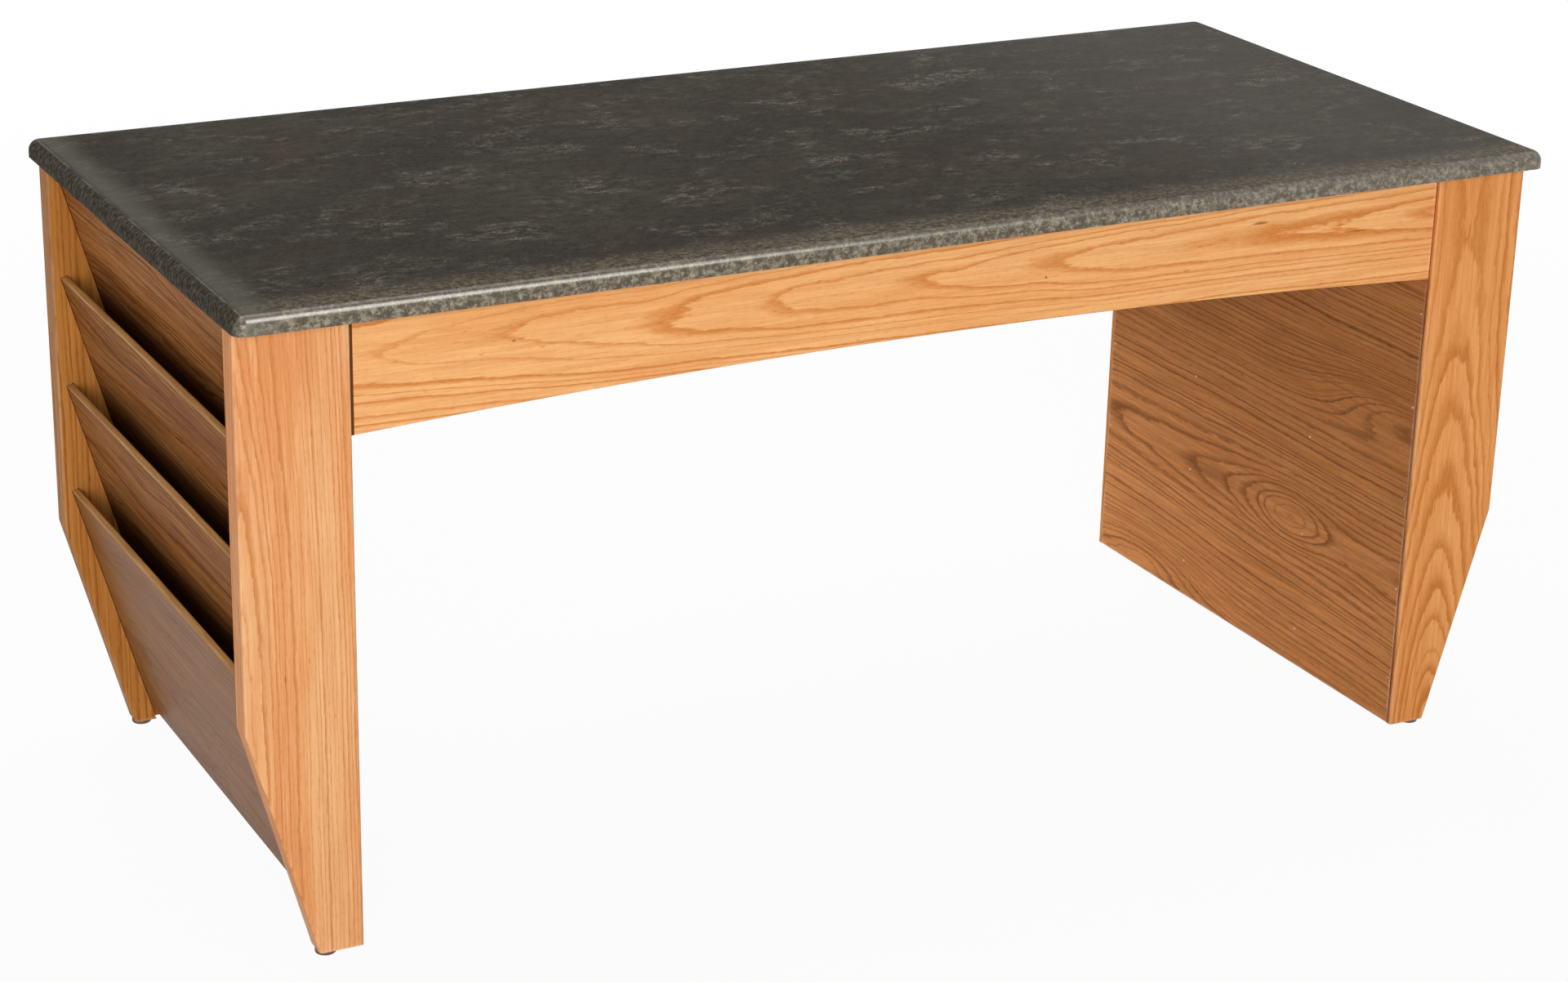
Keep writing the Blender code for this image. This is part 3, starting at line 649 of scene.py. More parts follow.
for side_name, look in PANEL_LOOKS.items():
    veneer = wood_finish(f"{side_name} panel brown veneer", ALONG_Y,
                         box=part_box(f"{side_name}_end_panel"),
                         grain=dict(Band_Width=0.5, Fuzz=0.36, Pore_Share=0.6),
                         roughness=0.45, gloss=0.03, pore_tint=(0.66, 0.58, 0.5, 1),
                         streak_share=0.34, **look)
    end_panel(side_name, veneer)

# ------------------------------------------------------------------ Brads
# Small finishing brads hold the end panels: two into the back of every floor
# strip and a row into each leg. Their heads stand a hair proud of the veneer.

BRAD_HEAD_RADIUS = 0.0008
BRAD_HEAD_RISE = 0.00018
BRAD_HEAD_DEPTH = 0.0004
BRAD_LENGTH = 0.005
BRAD_POINT = 0.001
BRAD_SHANK_RADIUS = BRAD_HEAD_RADIUS * 0.55


def steel_finish():
    """Zinc-plated steel, with fine drawing marks and a little grey bloom."""
    finish, shader, place = new_finish("zinc steel", 0.35, 0.5, 1.0)
    marks = noise(place, (900, 900, 4000), 2.0)
    bloom_and_sheen = fade(noise(place, (350, 350, 350), 4.0, 0.6), 0.45, 0.7)
    colour = mix(bloom_and_sheen, (206, 204, 196), (172, 168, 156))
    shine = plus(fade(marks, 0.3, 0.7, 0.24, 0.36), times(bloom_and_sheen, 0.15))
    lay_on(shader, colour, shine, marks, 0.00003)
    return finish


def turned(name, profile, steps=32):
    """Spin a profile of (radius, height) points about Z, to be set in rows."""
    shape = bmesh.new()
    points = [shape.verts.new((radius, 0, height)) for radius, height in profile]
    edges = [shape.edges.new(pair) for pair in zip(points, points[1:])]
    bmesh.ops.spin(shape, geom=points + edges, cent=(0, 0, 0), axis=(0, 0, 1),
                   angle=math.tau, steps=steps, use_merge=True)
    bmesh.ops.remove_doubles(shape, verts=shape.verts, dist=1e-7)
    return to_object(name, shape)


def new_rule(name, **inputs):
    """Start a Geometry Nodes tree. Its inputs are given as lists of names by their kind."""
    tree = bpy.data.node_groups.new(name, "GeometryNodeTree")
    tree.is_modifier = True
    for kind, input_names in inputs.items():
        for input_name in input_names:
            tree.interface.new_socket(name=input_name, in_out="INPUT",
                                      socket_type="NodeSocket" + kind)
    tree.interface.new_socket(name="Geometry", in_out="OUTPUT", socket_type="NodeSocketGeometry")
    return tree.nodes.new("NodeGroupInput").outputs


def close_rule(geometry, finish):
    """End a tree with real geometry that wears its finish."""
    tree = geometry.id_data
    real = add_node("GeometryNodeRealizeInstances", {"Geometry": geometry})
    dressed = add_node("GeometryNodeSetMaterial", {"Geometry": real, "Material": finish})
    put(tree.nodes.new("NodeGroupOutput").inputs[0], dressed)
    return tree


def combine(x, y, z):
    return add_node("ShaderNodeCombineXYZ", {0: x, 1: y, 2: z})


def rows_tree():
    """Geometry Nodes that set one part in rows, each turned by chance."""
    given = new_rule(
        "Rows of one part", Object=["Part"], Int=["Columns", "Rows", "Seed"],
        Float=["Column Spacing", "Row Spacing"], Vector=["Turn", "Place"], Material=["Finish"])
    grid = add_node("GeometryNodeMeshGrid", {
        "Size X": times(given["Column Spacing"], minus(given["Columns"], 1.0)),
        "Size Y": times(given["Row Spacing"], minus(given["Rows"], 1.0)),
        "Vertices X": given["Columns"], "Vertices Y": given["Rows"]}, "Mesh")
    part = add_node("GeometryNodeObjectInfo", {"Object": given["Part"]}, "Geometry")
    chance = add_node("FunctionNodeRandomValue", {"Seed": given["Seed"]}, 1, data_type="FLOAT")
    spin, turn = (add_node("FunctionNodeEulerToRotation", {"Euler": angles})
                  for angles in (combine(0.0, 0.0, times(chance, math.tau)), given["Turn"]))
    placed = add_node("GeometryNodeInstanceOnPoints", {
        "Points": grid, "Instance": part, "Rotation": spin})
    moved = add_node("GeometryNodeTransform", {
        "Geometry": placed, "Translation": given["Place"], "Rotation": turn})
    return close_rule(moved, given["Finish"])


def run_tree(name, tree, **values):
    """Run a Geometry Nodes tree once and keep the plain mesh it makes."""
    item = bpy.data.objects.new(name, bpy.data.meshes.new(name))
    bpy.context.scene.collection.objects.link(item)
    modifier = item.modifiers.new(tree.name, "NODES")
    modifier.node_group = tree
    sockets = {socket.name: socket.identifier for socket in tree.interface.items_tree
               if socket.in_out == "INPUT"}
    for key, value in values.items():
        modifier[sockets[key.replace("_", " ")]] = value
    return settle(item)


zinc_steel = steel_finish()
rows_of_one_part = rows_tree()

brad = turned("brad", [
    (0, BRAD_HEAD_RISE), (BRAD_HEAD_RADIUS * 0.6, BRAD_HEAD_RISE),
    (BRAD_HEAD_RADIUS, BRAD_HEAD_RISE * 0.3), (BRAD_HEAD_RADIUS, -BRAD_HEAD_DEPTH),
    (BRAD_SHANK_RADIUS, -BRAD_HEAD_DEPTH), (BRAD_SHANK_RADIUS, BRAD_POINT - BRAD_LENGTH),
    (0, -BRAD_LENGTH)], 12)
# Each kind of row, with the height of its middle.
BRAD_ROWS = {
    "floor_strip": (0.1155, dict(Columns=2, Column_Spacing=0.160, Rows=3,
                                 Row_Spacing=POCKET_PITCH)),
    "leg_edge": (0.2245, dict(Columns=2, Column_Spacing=0.406, Rows=6, Row_Spacing=0.0734)),
}
for side_name, side in SIDES.items():
    for row_name, (height, sizes) in BRAD_ROWS.items():
        brads = run_tree(
            f"{side_name}_{row_name}_brads", rows_of_one_part, Part=brad, Seed=4,
            Turn=(math.radians(90), 0, math.radians(-90 * side)),
            Place=(side * LEG_INNER_X, 0, height), Finish=zinc_steel, **sizes)
        fit(brads, "zinc_steel")
remove_tools(brad)

# ---------------------------------------------------------- Pocket panels
# Four leaning panels of stained plywood at each end stand in the legs' slots.
# Magazines go between them. The top edges are rounded over and lacquered.

POCKET_PANEL_HALF = 0.1982
POCKET_TOP_ROUNDING = 0.0017
POCKET_TOP_STEPS = 5
POCKET_MIDDLE_X = 0.4645
POCKET_GRAIN_X = 0.45
POCKET_FACING = 0.97


def pocket_ply_finish(name, side, seed, figure_share, gloss, mouth, stain_and_shade):
    """Stained plywood face, with painted shade along the slots and down inside a pocket.

    The mouth is the height down from which the panel is hidden in its pocket.
    """
    finish, shader, place = new_finish(f"{name} pocket plywood", 0.42, gloss)
    board = on_board(place, ALONG_Y, (0, 0, side * POCKET_GRAIN_X))
    rings = dict(Heart_Line=0.02, Lean=0.03, Heart_Depth=0.06, Taper=0.12, Bend=0.2,
                 Ring_Width=0.0038, Wander=0.045, Ripple=0.0016, Seed=seed)
    figure = grain_figure(board, rings, dict(Band_Width=0.5, Fuzz=0.4, Pore_Share=0.5))
    tone = fade(noise(board, (4, 40, 40), 3.0), 0.35, 0.68)
    wood = mix(tone, (192, 130, 74), (168, 106, 56))
    # Painted shade: each panel is painted darker by this share, the lower ones more.
    wood = mix(stain_and_shade, wood, (112, 78, 48))
    streaks = fade(figure["Streaks"], 0.34, 0.6, 0.6 * figure_share, 0.0)
    wood = mix(streaks, wood, (112, 62, 24))
    wood = mix(times(figure["Bands"], 0.85 * figure_share), wood, (98, 52, 20))
    wood = mix(times(figure["Pores"], 0.6 * figure_share), wood, (84, 50, 28))
    _, y, z = split(place)
    # Painted shade: darker down inside the pocket, below its mouth.
    wood = mix(fade(z, mouth + 0.012, mouth - 0.03, 0.0, 0.6), wood, (30, 16, 8))
    # Painted shade: a dark line where the panel's ends go into the legs' slots.
    slot = fade(calc("ABSOLUTE", y), LEG_BACK_Y - 0.0014, LEG_BACK_Y - 0.0006)
    wood = mix(slot, wood, (52, 28, 14))
    shine = fade(figure["Fibre"], 0.3, 0.7, 0.3, 0.42)
    lay_on(shader, wood, shine, figure["Height"], 0.0001, 0.6)
    return finish


def pocket_edge_finish():
    """Rounded top edge, sanded through the stain and lacquered."""
    finish, shader, place = new_finish("pocket top edge", 0.4, 0.08)
    board = on_board(place, ALONG_Y)
    fibre = noise(board, (26, 900, 900), 3.0)
    patch = fade(noise(board, (14, 60, 60), 2.0), 0.35, 0.7)
    wood = mix(fade(fibre, 0.3, 0.7), (214, 164, 102), (180, 128, 72))
    wood = mix(times(patch, 0.35), wood, (150, 100, 62))
    lay_on(shader, wood, fade(fibre, 0.3, 0.7, 0.34, 0.46), fibre, 0.00012)
    return finish


def pocket_panel(name, side, level, *finishes):
    top, down, inwards = pocket_frame(level)
    run = down * (POCKET_DROP / math.cos(POCKET_LEAN))
    through = inwards * POCKET_THICKNESS
    corners = (top, top + through, top + through + run, top + run)
    shape = bmesh.new()
    add_prism(shape, [(side * point.x, point.y) for point in corners],
              -POCKET_PANEL_HALF, POCKET_PANEL_HALF)
    middle = top.y - POCKET_DROP / 2
    top_edges = [edge for edge in shape.edges
                 if all(vert.co.z > middle for vert in edge.verts)
                 and abs(edge.verts[0].co.y - edge.verts[1].co.y) > POCKET_PANEL_HALF]
    ease(shape, top_edges, POCKET_TOP_ROUNDING, POCKET_TOP_STEPS)
    panel = to_object(f"{name}_panel_board", shape, *finishes)
    outward = Vector((side * math.cos(POCKET_LEAN), 0, -math.sin(POCKET_LEAN)))
    for face in panel.data.polygons:
        if abs(face.normal.dot(outward)) < POCKET_FACING:
            face.material_index = 1 if face.normal.z > 0 else 2
    settle_flat(panel)
    fit(panel, "pocket_plywood", f"{name}_pocket_panel")


pocket_edge = pocket_edge_finish()
for side_name, side in SIDES.items():
    ply_edge = ply_edge_finish(f"{side_name} pocket ply edge", side * POCKET_MIDDLE_X)
    for level_name, level in POCKET_LEVELS.items():
        mouth = POCKET_TOP_Z - (level + 1) * POCKET_PITCH + 0.004
        # Lower panels are painted darker, as painted shade.
        look = dict(figure_share=1.0, gloss=0.006, mouth=mouth, stain_and_shade=0.12 * (level + 1))
        if level_name == "lower":
            look = dict(figure_share=0.45, gloss=0.02, mouth=0.0, stain_and_shade=0.5)
        pocket_ply = pocket_ply_finish(f"{side_name} {level_name}", side,
                                       14.0 + side + 2.3 * level, **look)
        pocket_panel(f"{side_name}_{level_name}", side, level, pocket_ply, pocket_edge, ply_edge)

# ------------------------------------------------- Pocket floors and cleats
# Sawn softwood strips. A floor strip closes the bottom of each pocket, and
# four cleats are glued inside the frame for the screws that hold the top.


def softwood_finish(name, turn):
    """Sawn softwood: soft yellow rings, fine saw marks and a few darker streaks."""
    finish, shader, place = new_finish(name, 0.62, 0.25)
    board = on_board(place, turn)
    rings = dict(Heart_Line=0.1, Heart_Depth=0.1, Taper=0.02, Ring_Width=0.0025, Wander=0.01,
                 Seed=21.0)
    figure = grain_figure(board, rings, dict(Band_Width=0.5, Fuzz=0.15, Pore_Share=0.1))
    saw = add_node("ShaderNodeTexWave", {
        "Vector": board, "Scale": 130.0, "Distortion": 1.2, "Detail": 1.0}, out=1)
    wood = mix(times(figure["Bands"], 0.8), (222, 188, 138), (186, 138, 84))
    wood = mix(fade(figure["Fibre"], 0.3, 0.65, 0.3, 0.0), wood, (168, 122, 76))
    wood = mix(fade(saw, 0.2, 0.8, 0.0, 0.08), wood, (140, 100, 62))
    shine = fade(figure["Fibre"], 0.3, 0.7, 0.56, 0.68)
    lay_on(shader, wood, shine, plus(figure["Height"], times(saw, 0.3)), 0.00015)
    return finish


def dress(node, finish):
    """Give a carried-over CAD node its detailed finish."""
    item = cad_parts[node]
    for index in range(len(item.material_slots)):
        item.material_slots[index].material = finish


softwood_x = softwood_finish("softwood along the table", ALONG_X)
softwood_y = softwood_finish("softwood across the table", ALONG_Y)
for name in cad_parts:
    if name.endswith("_dowel"):
        dress(name, beech)
    elif name.endswith("_pocket_floor") or name in ("left_cleat", "right_cleat"):
        dress(name, softwood_y)
    elif name.endswith("_cleat"):
        dress(name, softwood_x)

# ---------------------------------------------------------------- Tabletop
# A thin board is covered by one sheet of stone-look laminate, bent down over
# the rounded edges. A brown balancing sheet is glued underneath.

TOP_LENGTH = 1.003
TOP_DEPTH = 0.459
TOP_HEIGHT = 0.457
TOP_THICKNESS = 0.0127
TOP_CORNER_RADIUS = 0.009
TOP_EDGE_RADIUS = 0.008
SKIN_THICKNESS = 0.0008


def join(*pieces):
    node = pieces[0].id_data.nodes.new("GeometryNodeJoinGeometry")
    for piece in pieces:
        put(node.inputs[0], piece)
    return node.outputs[0]


def lift(geometry, height):
    return add_node("GeometryNodeTransform", {
        "Geometry": geometry, "Translation": combine(0.0, 0.0, height)})


def rounded_sheet_tree():
    """Geometry Nodes for a sheet bent over a rounded board.

    A rounded rectangle carries the section of the edge round the board, and
    its flat middle is filled.
    """
    given = new_rule(
        "Sheet bent over a board",
        Float=["Length", "Depth", "Top Height", "Thickness", "Corner Radius", "Edge Radius"],
        Int=["Corner Steps", "Edge Steps"], Material=["Finish"])
    radius = given["Edge Radius"]
    inset = times(radius, 2.0)
    path = add_node("GeometryNodeCurvePrimitiveQuadrilateral", {
        "Width": minus(given["Length"], inset), "Height": minus(given["Depth"], inset)})
    path = add_node("GeometryNodeFilletCurve", {
        "Curve": path, "Count": given["Corner Steps"],
        "Radius": minus(given["Corner Radius"], radius)}, mode="POLY")
    arc = add_node("GeometryNodeCurveArc", {
        "Resolution": given["Edge Steps"], "Radius": radius,
        "Start Angle": math.radians(-90), "Sweep Angle": math.radians(90)})
    side = add_node("GeometryNodeCurvePrimitiveLine", {
        "Start": combine(radius, 0.0, 0.0),
        "End": combine(radius, minus(given["Thickness"], radius), 0.0)})
    edge = add_node("GeometryNodeCurveToMesh", {
        "Curve": path, "Profile Curve": join(side, arc)})
    flat = add_node("GeometryNodeFillCurve", {"Curve": path}, mode="NGONS")
    whole = add_node("GeometryNodeMergeByDistance", {
        "Geometry": join(edge, lift(flat, radius)), "Distance": 1e-6})
    return close_rule(lift(whole, minus(given["Top Height"], radius)), given["Finish"])


def laminate_finish():
    """Dark stone-look print: clouds, wisps of pale specks and fine grit.

    Near the bent edges the surface has a little more shine, and its print is
    painted paler there as a painted sheen.
    """
    finish, shader, place = new_finish("stone laminate", 0.5, 0.004)
    clouds = noise(place, (6, 9, 9), 5.0, 0.62, 0.4)
    patches = noise(place, (17, 28, 28), 4.0, 0.62, 0.6)
    mottle = noise(place, (75, 130, 130), 5.0, 0.75, 0.5)
    grit = noise(place, (420, 640, 640), 2.0, 0.6)
    stone = mix(fade(clouds, 0.34, 0.66), (50, 47, 42), (70, 67, 59))
    rust = noise(place, (7, 11, 11), 5.0, 0.7, 0.8)
    stone = mix(fade(rust, 0.46, 0.66, 0.0, 0.55), stone, (76, 62, 52))
    stone = mix(fade(mottle, 0.38, 0.62, 0.7, 0.0), stone, (42, 39, 35))
    stone = mix(fade(grit, 0.35, 0.7, 0.0, 0.42), stone, (94, 84, 74))
    cluster = fade(patches, 0.46, 0.72, 0.0, 0.85)
    vein = calc("ABSOLUTE", minus(noise(place, (110, 190, 190), 5.0, 0.72, 1.2), 0.5))
    wisp = times(fade(vein, 0.0, 0.05, 1.0, 0.0), fade(mottle, 0.42, 0.62))
    stone = mix(times(wisp, cluster), stone, (164, 158, 144))
    # Painted sheen: pale blotches where the sheet bends down at the front and the rear.
    x, y, z = split(place)
    from_end = minus(TOP_LENGTH / 2, calc("ABSOLUTE", x))
    from_front = plus(y, TOP_DEPTH / 2)
    from_rear = minus(TOP_DEPTH / 2, y)
    ragged = times(minus(mottle, 0.5), 0.05)
    blotch = noise(place, (230, 260, 260), 6.0, 0.75, 0.5)
    speck = noise(place, (260, 380, 260), 5.0, 0.7)
    front_sheen = fade(plus(from_front, ragged), 0.014, 0.038, 1.0, 0.0)
    rear_sheen = fade(plus(from_rear, ragged), 0.004, 0.012, 1.0, 0.0)
    sheen_paint = mix(fade(blotch, 0.42, 0.60), (88, 78, 62), (168, 156, 133))
    sheen_paint = mix(fade(speck, 0.40, 0.6, 0.55, 0.0), sheen_paint, (72, 63, 50))
    down = fade(z, TOP_HEIGHT - 0.001, TOP_HEIGHT - 0.006, 0.5, 0.95)
    stone = mix(times(calc("MAXIMUM", front_sheen, rear_sheen), down), stone, sheen_paint)
    # Duller grain on the short ends, and a soft painted sheen beside the left one.
    side_wall = times(fade(from_end, 0.004, 0.008, 1.0, 0.0),
                      fade(minus(from_front, from_end), -0.002, 0.004))
    dull = mix(fade(speck, 0.42, 0.64), (54, 50, 42), (98, 92, 79))
    stone = mix(side_wall, stone, dull)
    bloom_and_sheen = times(fade(from_end, 0.005, 0.010), fade(from_end, 0.012, 0.036, 0.5, 0.0))
    bloom_and_sheen = times(bloom_and_sheen, fade(x, -0.1, 0.1, 1.0, 0.0))
    stone = mix(bloom_and_sheen, stone, (112, 110, 98))
    # Painted reflection: the top is painted paler towards the right.
    stone = mix(fade(x, 0.05, 0.42, 0.0, 0.16), stone, (150, 145, 138))
    # A broken painted highlight where the top turns down to the short ends.
    arris_highlight = fade(calc("ABSOLUTE", minus(from_end, 0.0062)), 0.0002, 0.0009, 0.35, 0.0)
    arris_highlight = times(arris_highlight, fade(patches, 0.4, 0.6))
    arris_highlight = times(arris_highlight, fade(z, TOP_HEIGHT - 0.0017, TOP_HEIGHT - 0.0012))
    stone = mix(arris_highlight, stone, (160, 154, 140))
    # The bent edges shine a little more than the flat.
    edge = calc("MINIMUM", from_front, from_rear)
    put(shader["Coat Weight"], fade(edge, 0.004, 0.0065, 0.8, 0.0))
    shader["Coat Roughness"].default_value = 0.26
    lay_on(shader, stone, fade(grit, 0.3, 0.7, 0.36, 0.5), plus(grit, times(mottle, 0.6)), 0.00006)
    return finish


stone_laminate = laminate_finish()
skin = run_tree("tabletop_laminate", rounded_sheet_tree(), Length=TOP_LENGTH, Depth=TOP_DEPTH,
                Top_Height=TOP_HEIGHT, Thickness=TOP_THICKNESS, Corner_Radius=TOP_CORNER_RADIUS,
                Edge_Radius=TOP_EDGE_RADIUS, Corner_Steps=8, Edge_Steps=9, Finish=stone_laminate)
shape = bmesh.new()
shape.from_mesh(skin.data)
bmesh.ops.recalc_face_normals(shape, faces=shape.faces)
if max(shape.faces, key=lambda face: face.calc_area()).normal.z < 0:
    bmesh.ops.reverse_faces(shape, faces=shape.faces)
shape.to_mesh(skin.data)
shape.free()
skin.data.shade_smooth()
sheet = skin.modifiers.new("sheet thickness", "SOLIDIFY")
sheet.thickness = SKIN_THICKNESS
sheet.offset = -1
sheet.use_even_offset = True
settle_flat(skin)
fit(skin, "stone_laminate", "tabletop_skin")

core_board, shader, place = new_finish("core board", 0.8, 0.15)
chips = add_node("ShaderNodeTexVoronoi", {
    "Vector": vector_calc("MULTIPLY", place, (260, 420, 700)), "Scale": 1.0}, "Distance")
fines = noise(place, (900, 900, 900), 3.0)
wood = mix(chips, (196, 160, 114), (150, 112, 72))
wood = mix(fade(fines, 0.4, 0.7, 0.0, 0.6), wood, (110, 80, 52))
lay_on(shader, wood, fade(fines, 0.3, 0.7, 0.7, 0.9), chips, 0.0003)
dress("tabletop_core", core_board)

backing_sheet, shader, place = new_finish("backing sheet", 0.6, 0.3)
weave = noise(place, (700, 700, 700), 3.0, 0.6)
stain_and_shade = noise(place, (14, 22, 14), 4.0, 0.6)
paper = mix(fade(stain_and_shade, 0.35, 0.68), (112, 92, 72), (96, 78, 60))
paper = mix(fade(weave, 0.4, 0.7, 0.0, 0.4), paper, (70, 56, 44))
lay_on(shader, paper, fade(weave, 0.3, 0.7, 0.5, 0.7), weave, 0.00008)
dress("tabletop_backer", backing_sheet)

# -------------------------------------------------------------- Top screws
# Eight countersunk cross-head screws go up through the cleats into the top,
# three in each long cleat and one in each short one.

SCREW_LENGTH = 0.0265
SCREW_POINT = 0.004
SCREW_HEAD_RADIUS = 0.0036
SCREW_HEAD_HEIGHT = 0.0022
SCREW_SHANK_RADIUS = 0.0018
CROSS_ARM = (0.0036, 0.0009, 0.0026)
CROSS_TAPER = 0.7
CLEAT_UNDERSIDE = 0.425


def screw():
    """Countersunk screw with a tapering cross recess in its head."""
    body = turned("top screw", [
        (0, 0), (SCREW_HEAD_RADIUS - 0.0002, 0), (SCREW_HEAD_RADIUS, 0.0001),
        (SCREW_HEAD_RADIUS, 0.0003), (SCREW_SHANK_RADIUS, SCREW_HEAD_HEIGHT),
        (SCREW_SHANK_RADIUS, SCREW_LENGTH - SCREW_POINT), (0, SCREW_LENGTH)])
    cross = bmesh.new()
    for turn in (0, math.pi / 2):
        arm = bmesh.ops.create_cube(cross, size=1)["verts"]
        bmesh.ops.scale(cross, verts=arm, vec=CROSS_ARM)
        for vert in arm:
            if vert.co.z > 0:
                vert.co.xy *= CROSS_TAPER
        bmesh.ops.rotate(cross, verts=arm, matrix=Matrix.Rotation(turn, 3, "Z"))
    cutter = to_object("cross recess", cross)
    cut_away(body, cutter, overlap=True)
    settle(body)
    body.data.set_sharp_from_angle(angle=SHARP_ANGLE)
    remove_tools(cutter)
    return body


top_screw = screw()
SCREW_ROWS = {
    "long_cleat_screws": (dict(Columns=3, Column_Spacing=0.3, Rows=2, Row_Spacing=0.3576),
                          [f"{face}_{along}_top_screw" for face in FACES
                           for along in ("left", "middle", "right")]),
    "short_cleat_screws": (dict(Columns=2, Column_Spacing=0.822, Rows=1),
                           ["left_end_top_screw", "right_end_top_screw"]),
}
for name, (sizes, replaced) in SCREW_ROWS.items():
    screws = run_tree(name, rows_of_one_part, Part=top_screw, Seed=8, Finish=zinc_steel,
                      Place=(0.0, 0.0, CLEAT_UNDERSIDE), **sizes)
    fit(screws, "zinc_steel", *replaced)
remove_tools(top_screw)

# ------------------------------------------------------------- Foot glides
# A brown moulded plastic glide is nailed under each foot. The nail's head sits
# in a recess, clear of the floor.

GLIDE_RADIUS = 0.0072
GLIDE_HEIGHT = 0.0037
GLIDE_EDGE_RADIUS = 0.0011
GLIDE_EDGE_STEPS = 8
GLIDE_HOLE_RADIUS = 0.0013
GLIDE_RECESS_RADIUS = 0.0028
GLIDE_RECESS_DEPTH = 0.0018
GLIDE_SPACING_X = 0.8896
GLIDE_SPACING_Y = 0.4032
NAIL_HEAD_RADIUS = 0.0025
NAIL_SHANK_RADIUS = 0.001

brown_plastic, shader, place = new_finish("brown plastic", 0.45, 0.5)
mould = noise(place, (1400, 1400, 1400), 3.0)
scuff = fade(noise(place, (300, 300, 900), 4.0, 0.7), 0.5, 0.72)
plastic = mix(times(scuff, 0.5), (104, 72, 56), (150, 118, 96))
shine = plus(fade(mould, 0.3, 0.7, 0.38, 0.5), times(scuff, 0.2))
lay_on(shader, plastic, shine, mould, 0.00004)

rounding = [(GLIDE_RADIUS - GLIDE_EDGE_RADIUS * (1 - math.sin(turn)),
             GLIDE_EDGE_RADIUS * (1 - math.cos(turn)))
            for turn in (math.pi / 2 * step / GLIDE_EDGE_STEPS
                         for step in range(GLIDE_EDGE_STEPS + 1))]
hole = (GLIDE_HOLE_RADIUS, GLIDE_RECESS_DEPTH)
glide = turned("glide", [
    hole, (GLIDE_RECESS_RADIUS, GLIDE_RECESS_DEPTH), (GLIDE_RECESS_RADIUS, 0), *rounding,
    (GLIDE_RADIUS, GLIDE_HEIGHT), (GLIDE_HOLE_RADIUS, GLIDE_HEIGHT), hole], 48)
nail = turned("glide nail", [
    (0, 0.0007), (0.0021, 0.0007), (NAIL_HEAD_RADIUS, 0.0010), (NAIL_HEAD_RADIUS, 0.0015),
    (NAIL_SHANK_RADIUS, 0.0015), (NAIL_SHANK_RADIUS, 0.0172), (0, 0.0197)], 24)
for name, part, slot, finish, ending in (
        ("foot_glides", glide, "brown_plastic", brown_plastic, "_glide"),
        ("glide_nails", nail, "zinc_steel", zinc_steel, "_glide_nail")):
    row = run_tree(name, rows_of_one_part, Part=part, Columns=2, Column_Spacing=GLIDE_SPACING_X,
                   Rows=2, Row_Spacing=GLIDE_SPACING_Y, Seed=2, Finish=finish)
    fit(row, slot, *[f"{face}_{side}{ending}" for face in FACES for side in SIDES])
remove_tools(glide, nail)

# ------------------------------------------------------------------ Studio
# Plain pale floor, a large soft lamp near the camera, another overhead, and a
# white surround. A strip that only shows in gloss draws the line along the
# rounded front edge. The floor keeps the table's shadow.

AMBIENT = 0.25
AIM_HEIGHT = 0.3


def seen_directly(tree):
    """One for rays that show the surround itself: camera, gloss and glass."""
    path = add_node("ShaderNodeLightPath", out=None, tree=tree)
    return calc("MAXIMUM", path["Is Camera Ray"],
                calc("MAXIMUM", path["Is Glossy Ray"], path["Is Transmission Ray"]))


world = bpy.data.worlds.new("surround")
bpy.context.scene.world = world
world.use_nodes = True
surround = world.node_tree.nodes["Background"].inputs
surround["Color"].default_value = (1, 1, 1, 1)
put(surround["Strength"], fade(seen_directly(world.node_tree), 0.0, 1.0, AMBIENT, 1.0))

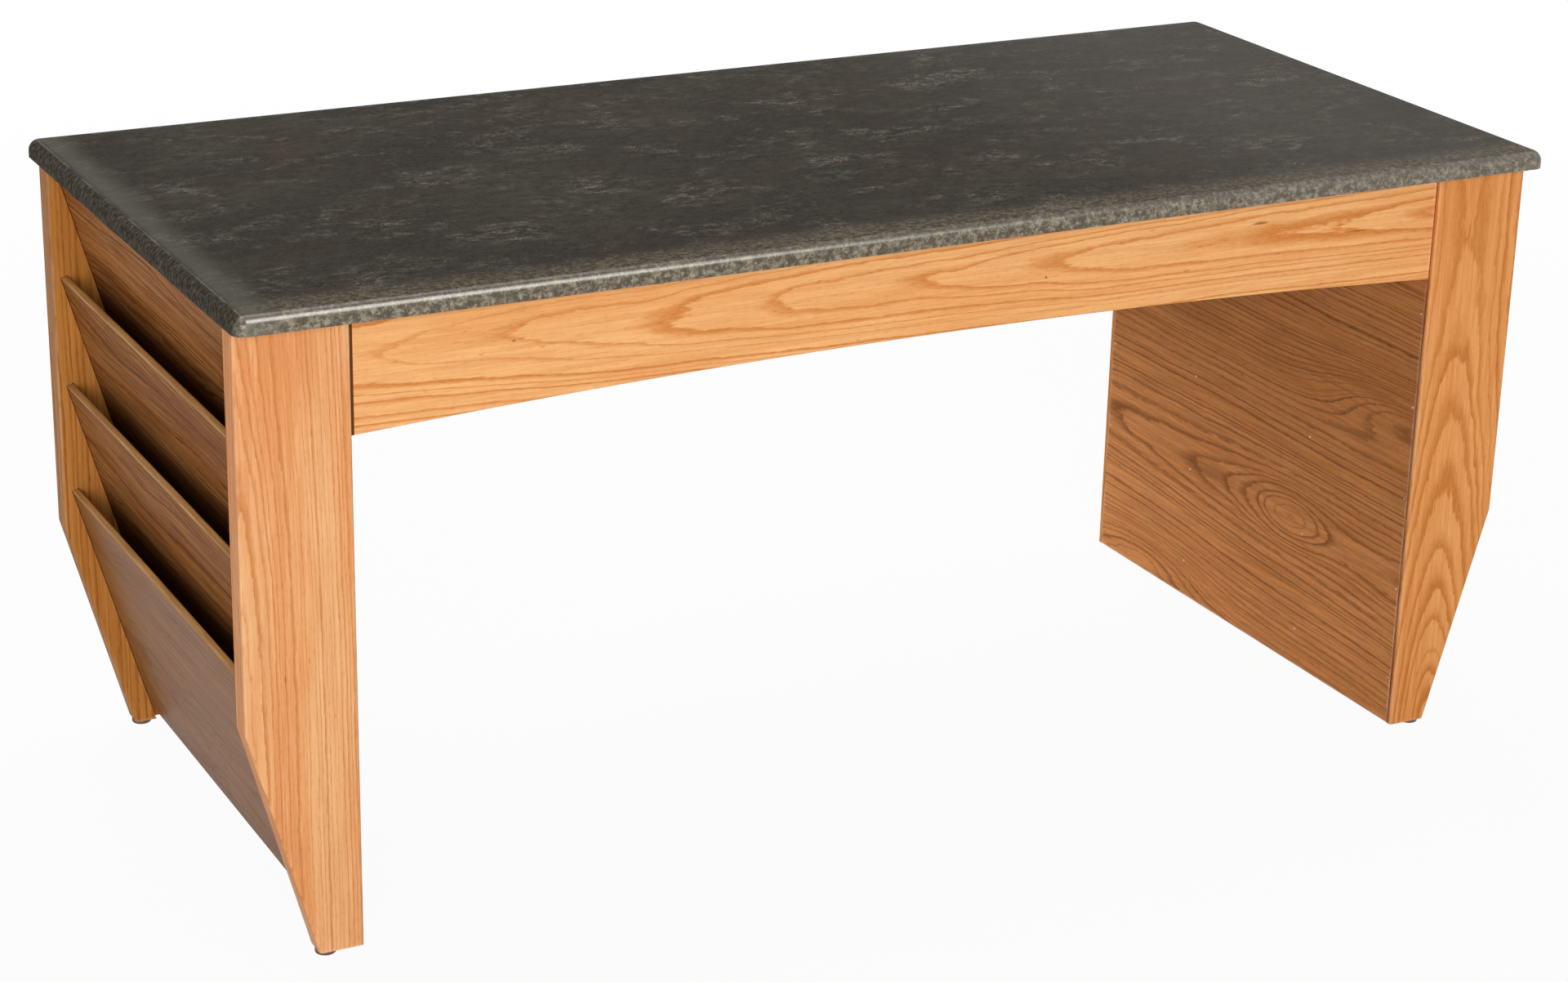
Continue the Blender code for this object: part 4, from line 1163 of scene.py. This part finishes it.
shape = bmesh.new()
bmesh.ops.create_grid(shape, x_segments=12, y_segments=12, size=15)
floor_paint, shader, place = new_finish("floor paint", 0.9, 0.0)
tree = floor_paint.node_tree
grain = noise(place, (160, 160, 160), 3.0)
lay_on(shader, mix(grain, (0.80, 0.80, 0.80, 1), (0.84, 0.84, 0.84, 1)), 0.9, grain, 0.0002)
near = fade(vector_calc("LENGTH", place), 0.9, 2.4, 0.95, 1.0)
glow = add_node("ShaderNodeEmission", {"Strength": 1.0}, tree=tree)
blended = add_node("ShaderNodeMixShader", {
    0: times(seen_directly(tree), near), 1: tree.nodes["Principled BSDF"].outputs[0], 2: glow})
put(tree.nodes["Material Output"].inputs["Surface"], blended)
floor = to_object("floor", shape, floor_paint)
if floor.data.polygons[0].normal.z < 0:
    floor.data.flip_normals()


def softbox(name, azimuth, elevation, distance, size, level):
    """Soft lamp aimed at the table, seen from it under these angles.

    Level is the share of plain white that it gives a card that faces it.
    """
    turn, rise = math.radians(azimuth), math.radians(elevation)
    towards = Vector((math.sin(turn) * math.cos(rise), -math.cos(turn) * math.cos(rise),
                      math.sin(rise)))
    lamp = bpy.data.lights.new(name, "AREA")
    lamp.shape = "RECTANGLE"
    lamp.size, lamp.size_y = size
    lamp.energy = level * (math.pi * distance) ** 2
    holder = bpy.data.objects.new(name, lamp)
    holder.location = Vector((0, 0, AIM_HEIGHT)) + towards * distance
    holder.rotation_euler = towards.to_track_quat("Z", "Y").to_euler()
    bpy.context.scene.collection.objects.link(holder)
    return holder


softbox("key softbox", -25, 12, 7.0, (3.7, 3.1), 0.62)
softbox("overhead softbox", 180, 66, 3.2, (2.4, 2.4), 0.54)
strip = softbox("edge strip", 20, 50, 5.0, (1.9, 2.4), 1.12)
strip.visible_diffuse = False
strip.data.color = (1.0, 0.97, 0.89)

camera = bpy.data.cameras.new("camera")
camera.lens = 78.9163
camera.sensor_width = 36
camera.clip_start, camera.clip_end = 0.05, 60
tripod = bpy.data.objects.new("camera", camera)
tripod.location = (-1.1263, -2.1352, 1.1047)
tripod.rotation_euler = [math.radians(angle) for angle in (69.2171, -1.2755, -27.2831)]
bpy.context.scene.collection.objects.link(tripod)
bpy.context.scene.camera = tripod
bpy.context.scene.view_settings.view_transform = "Standard"

bpy.context.view_layer.update()
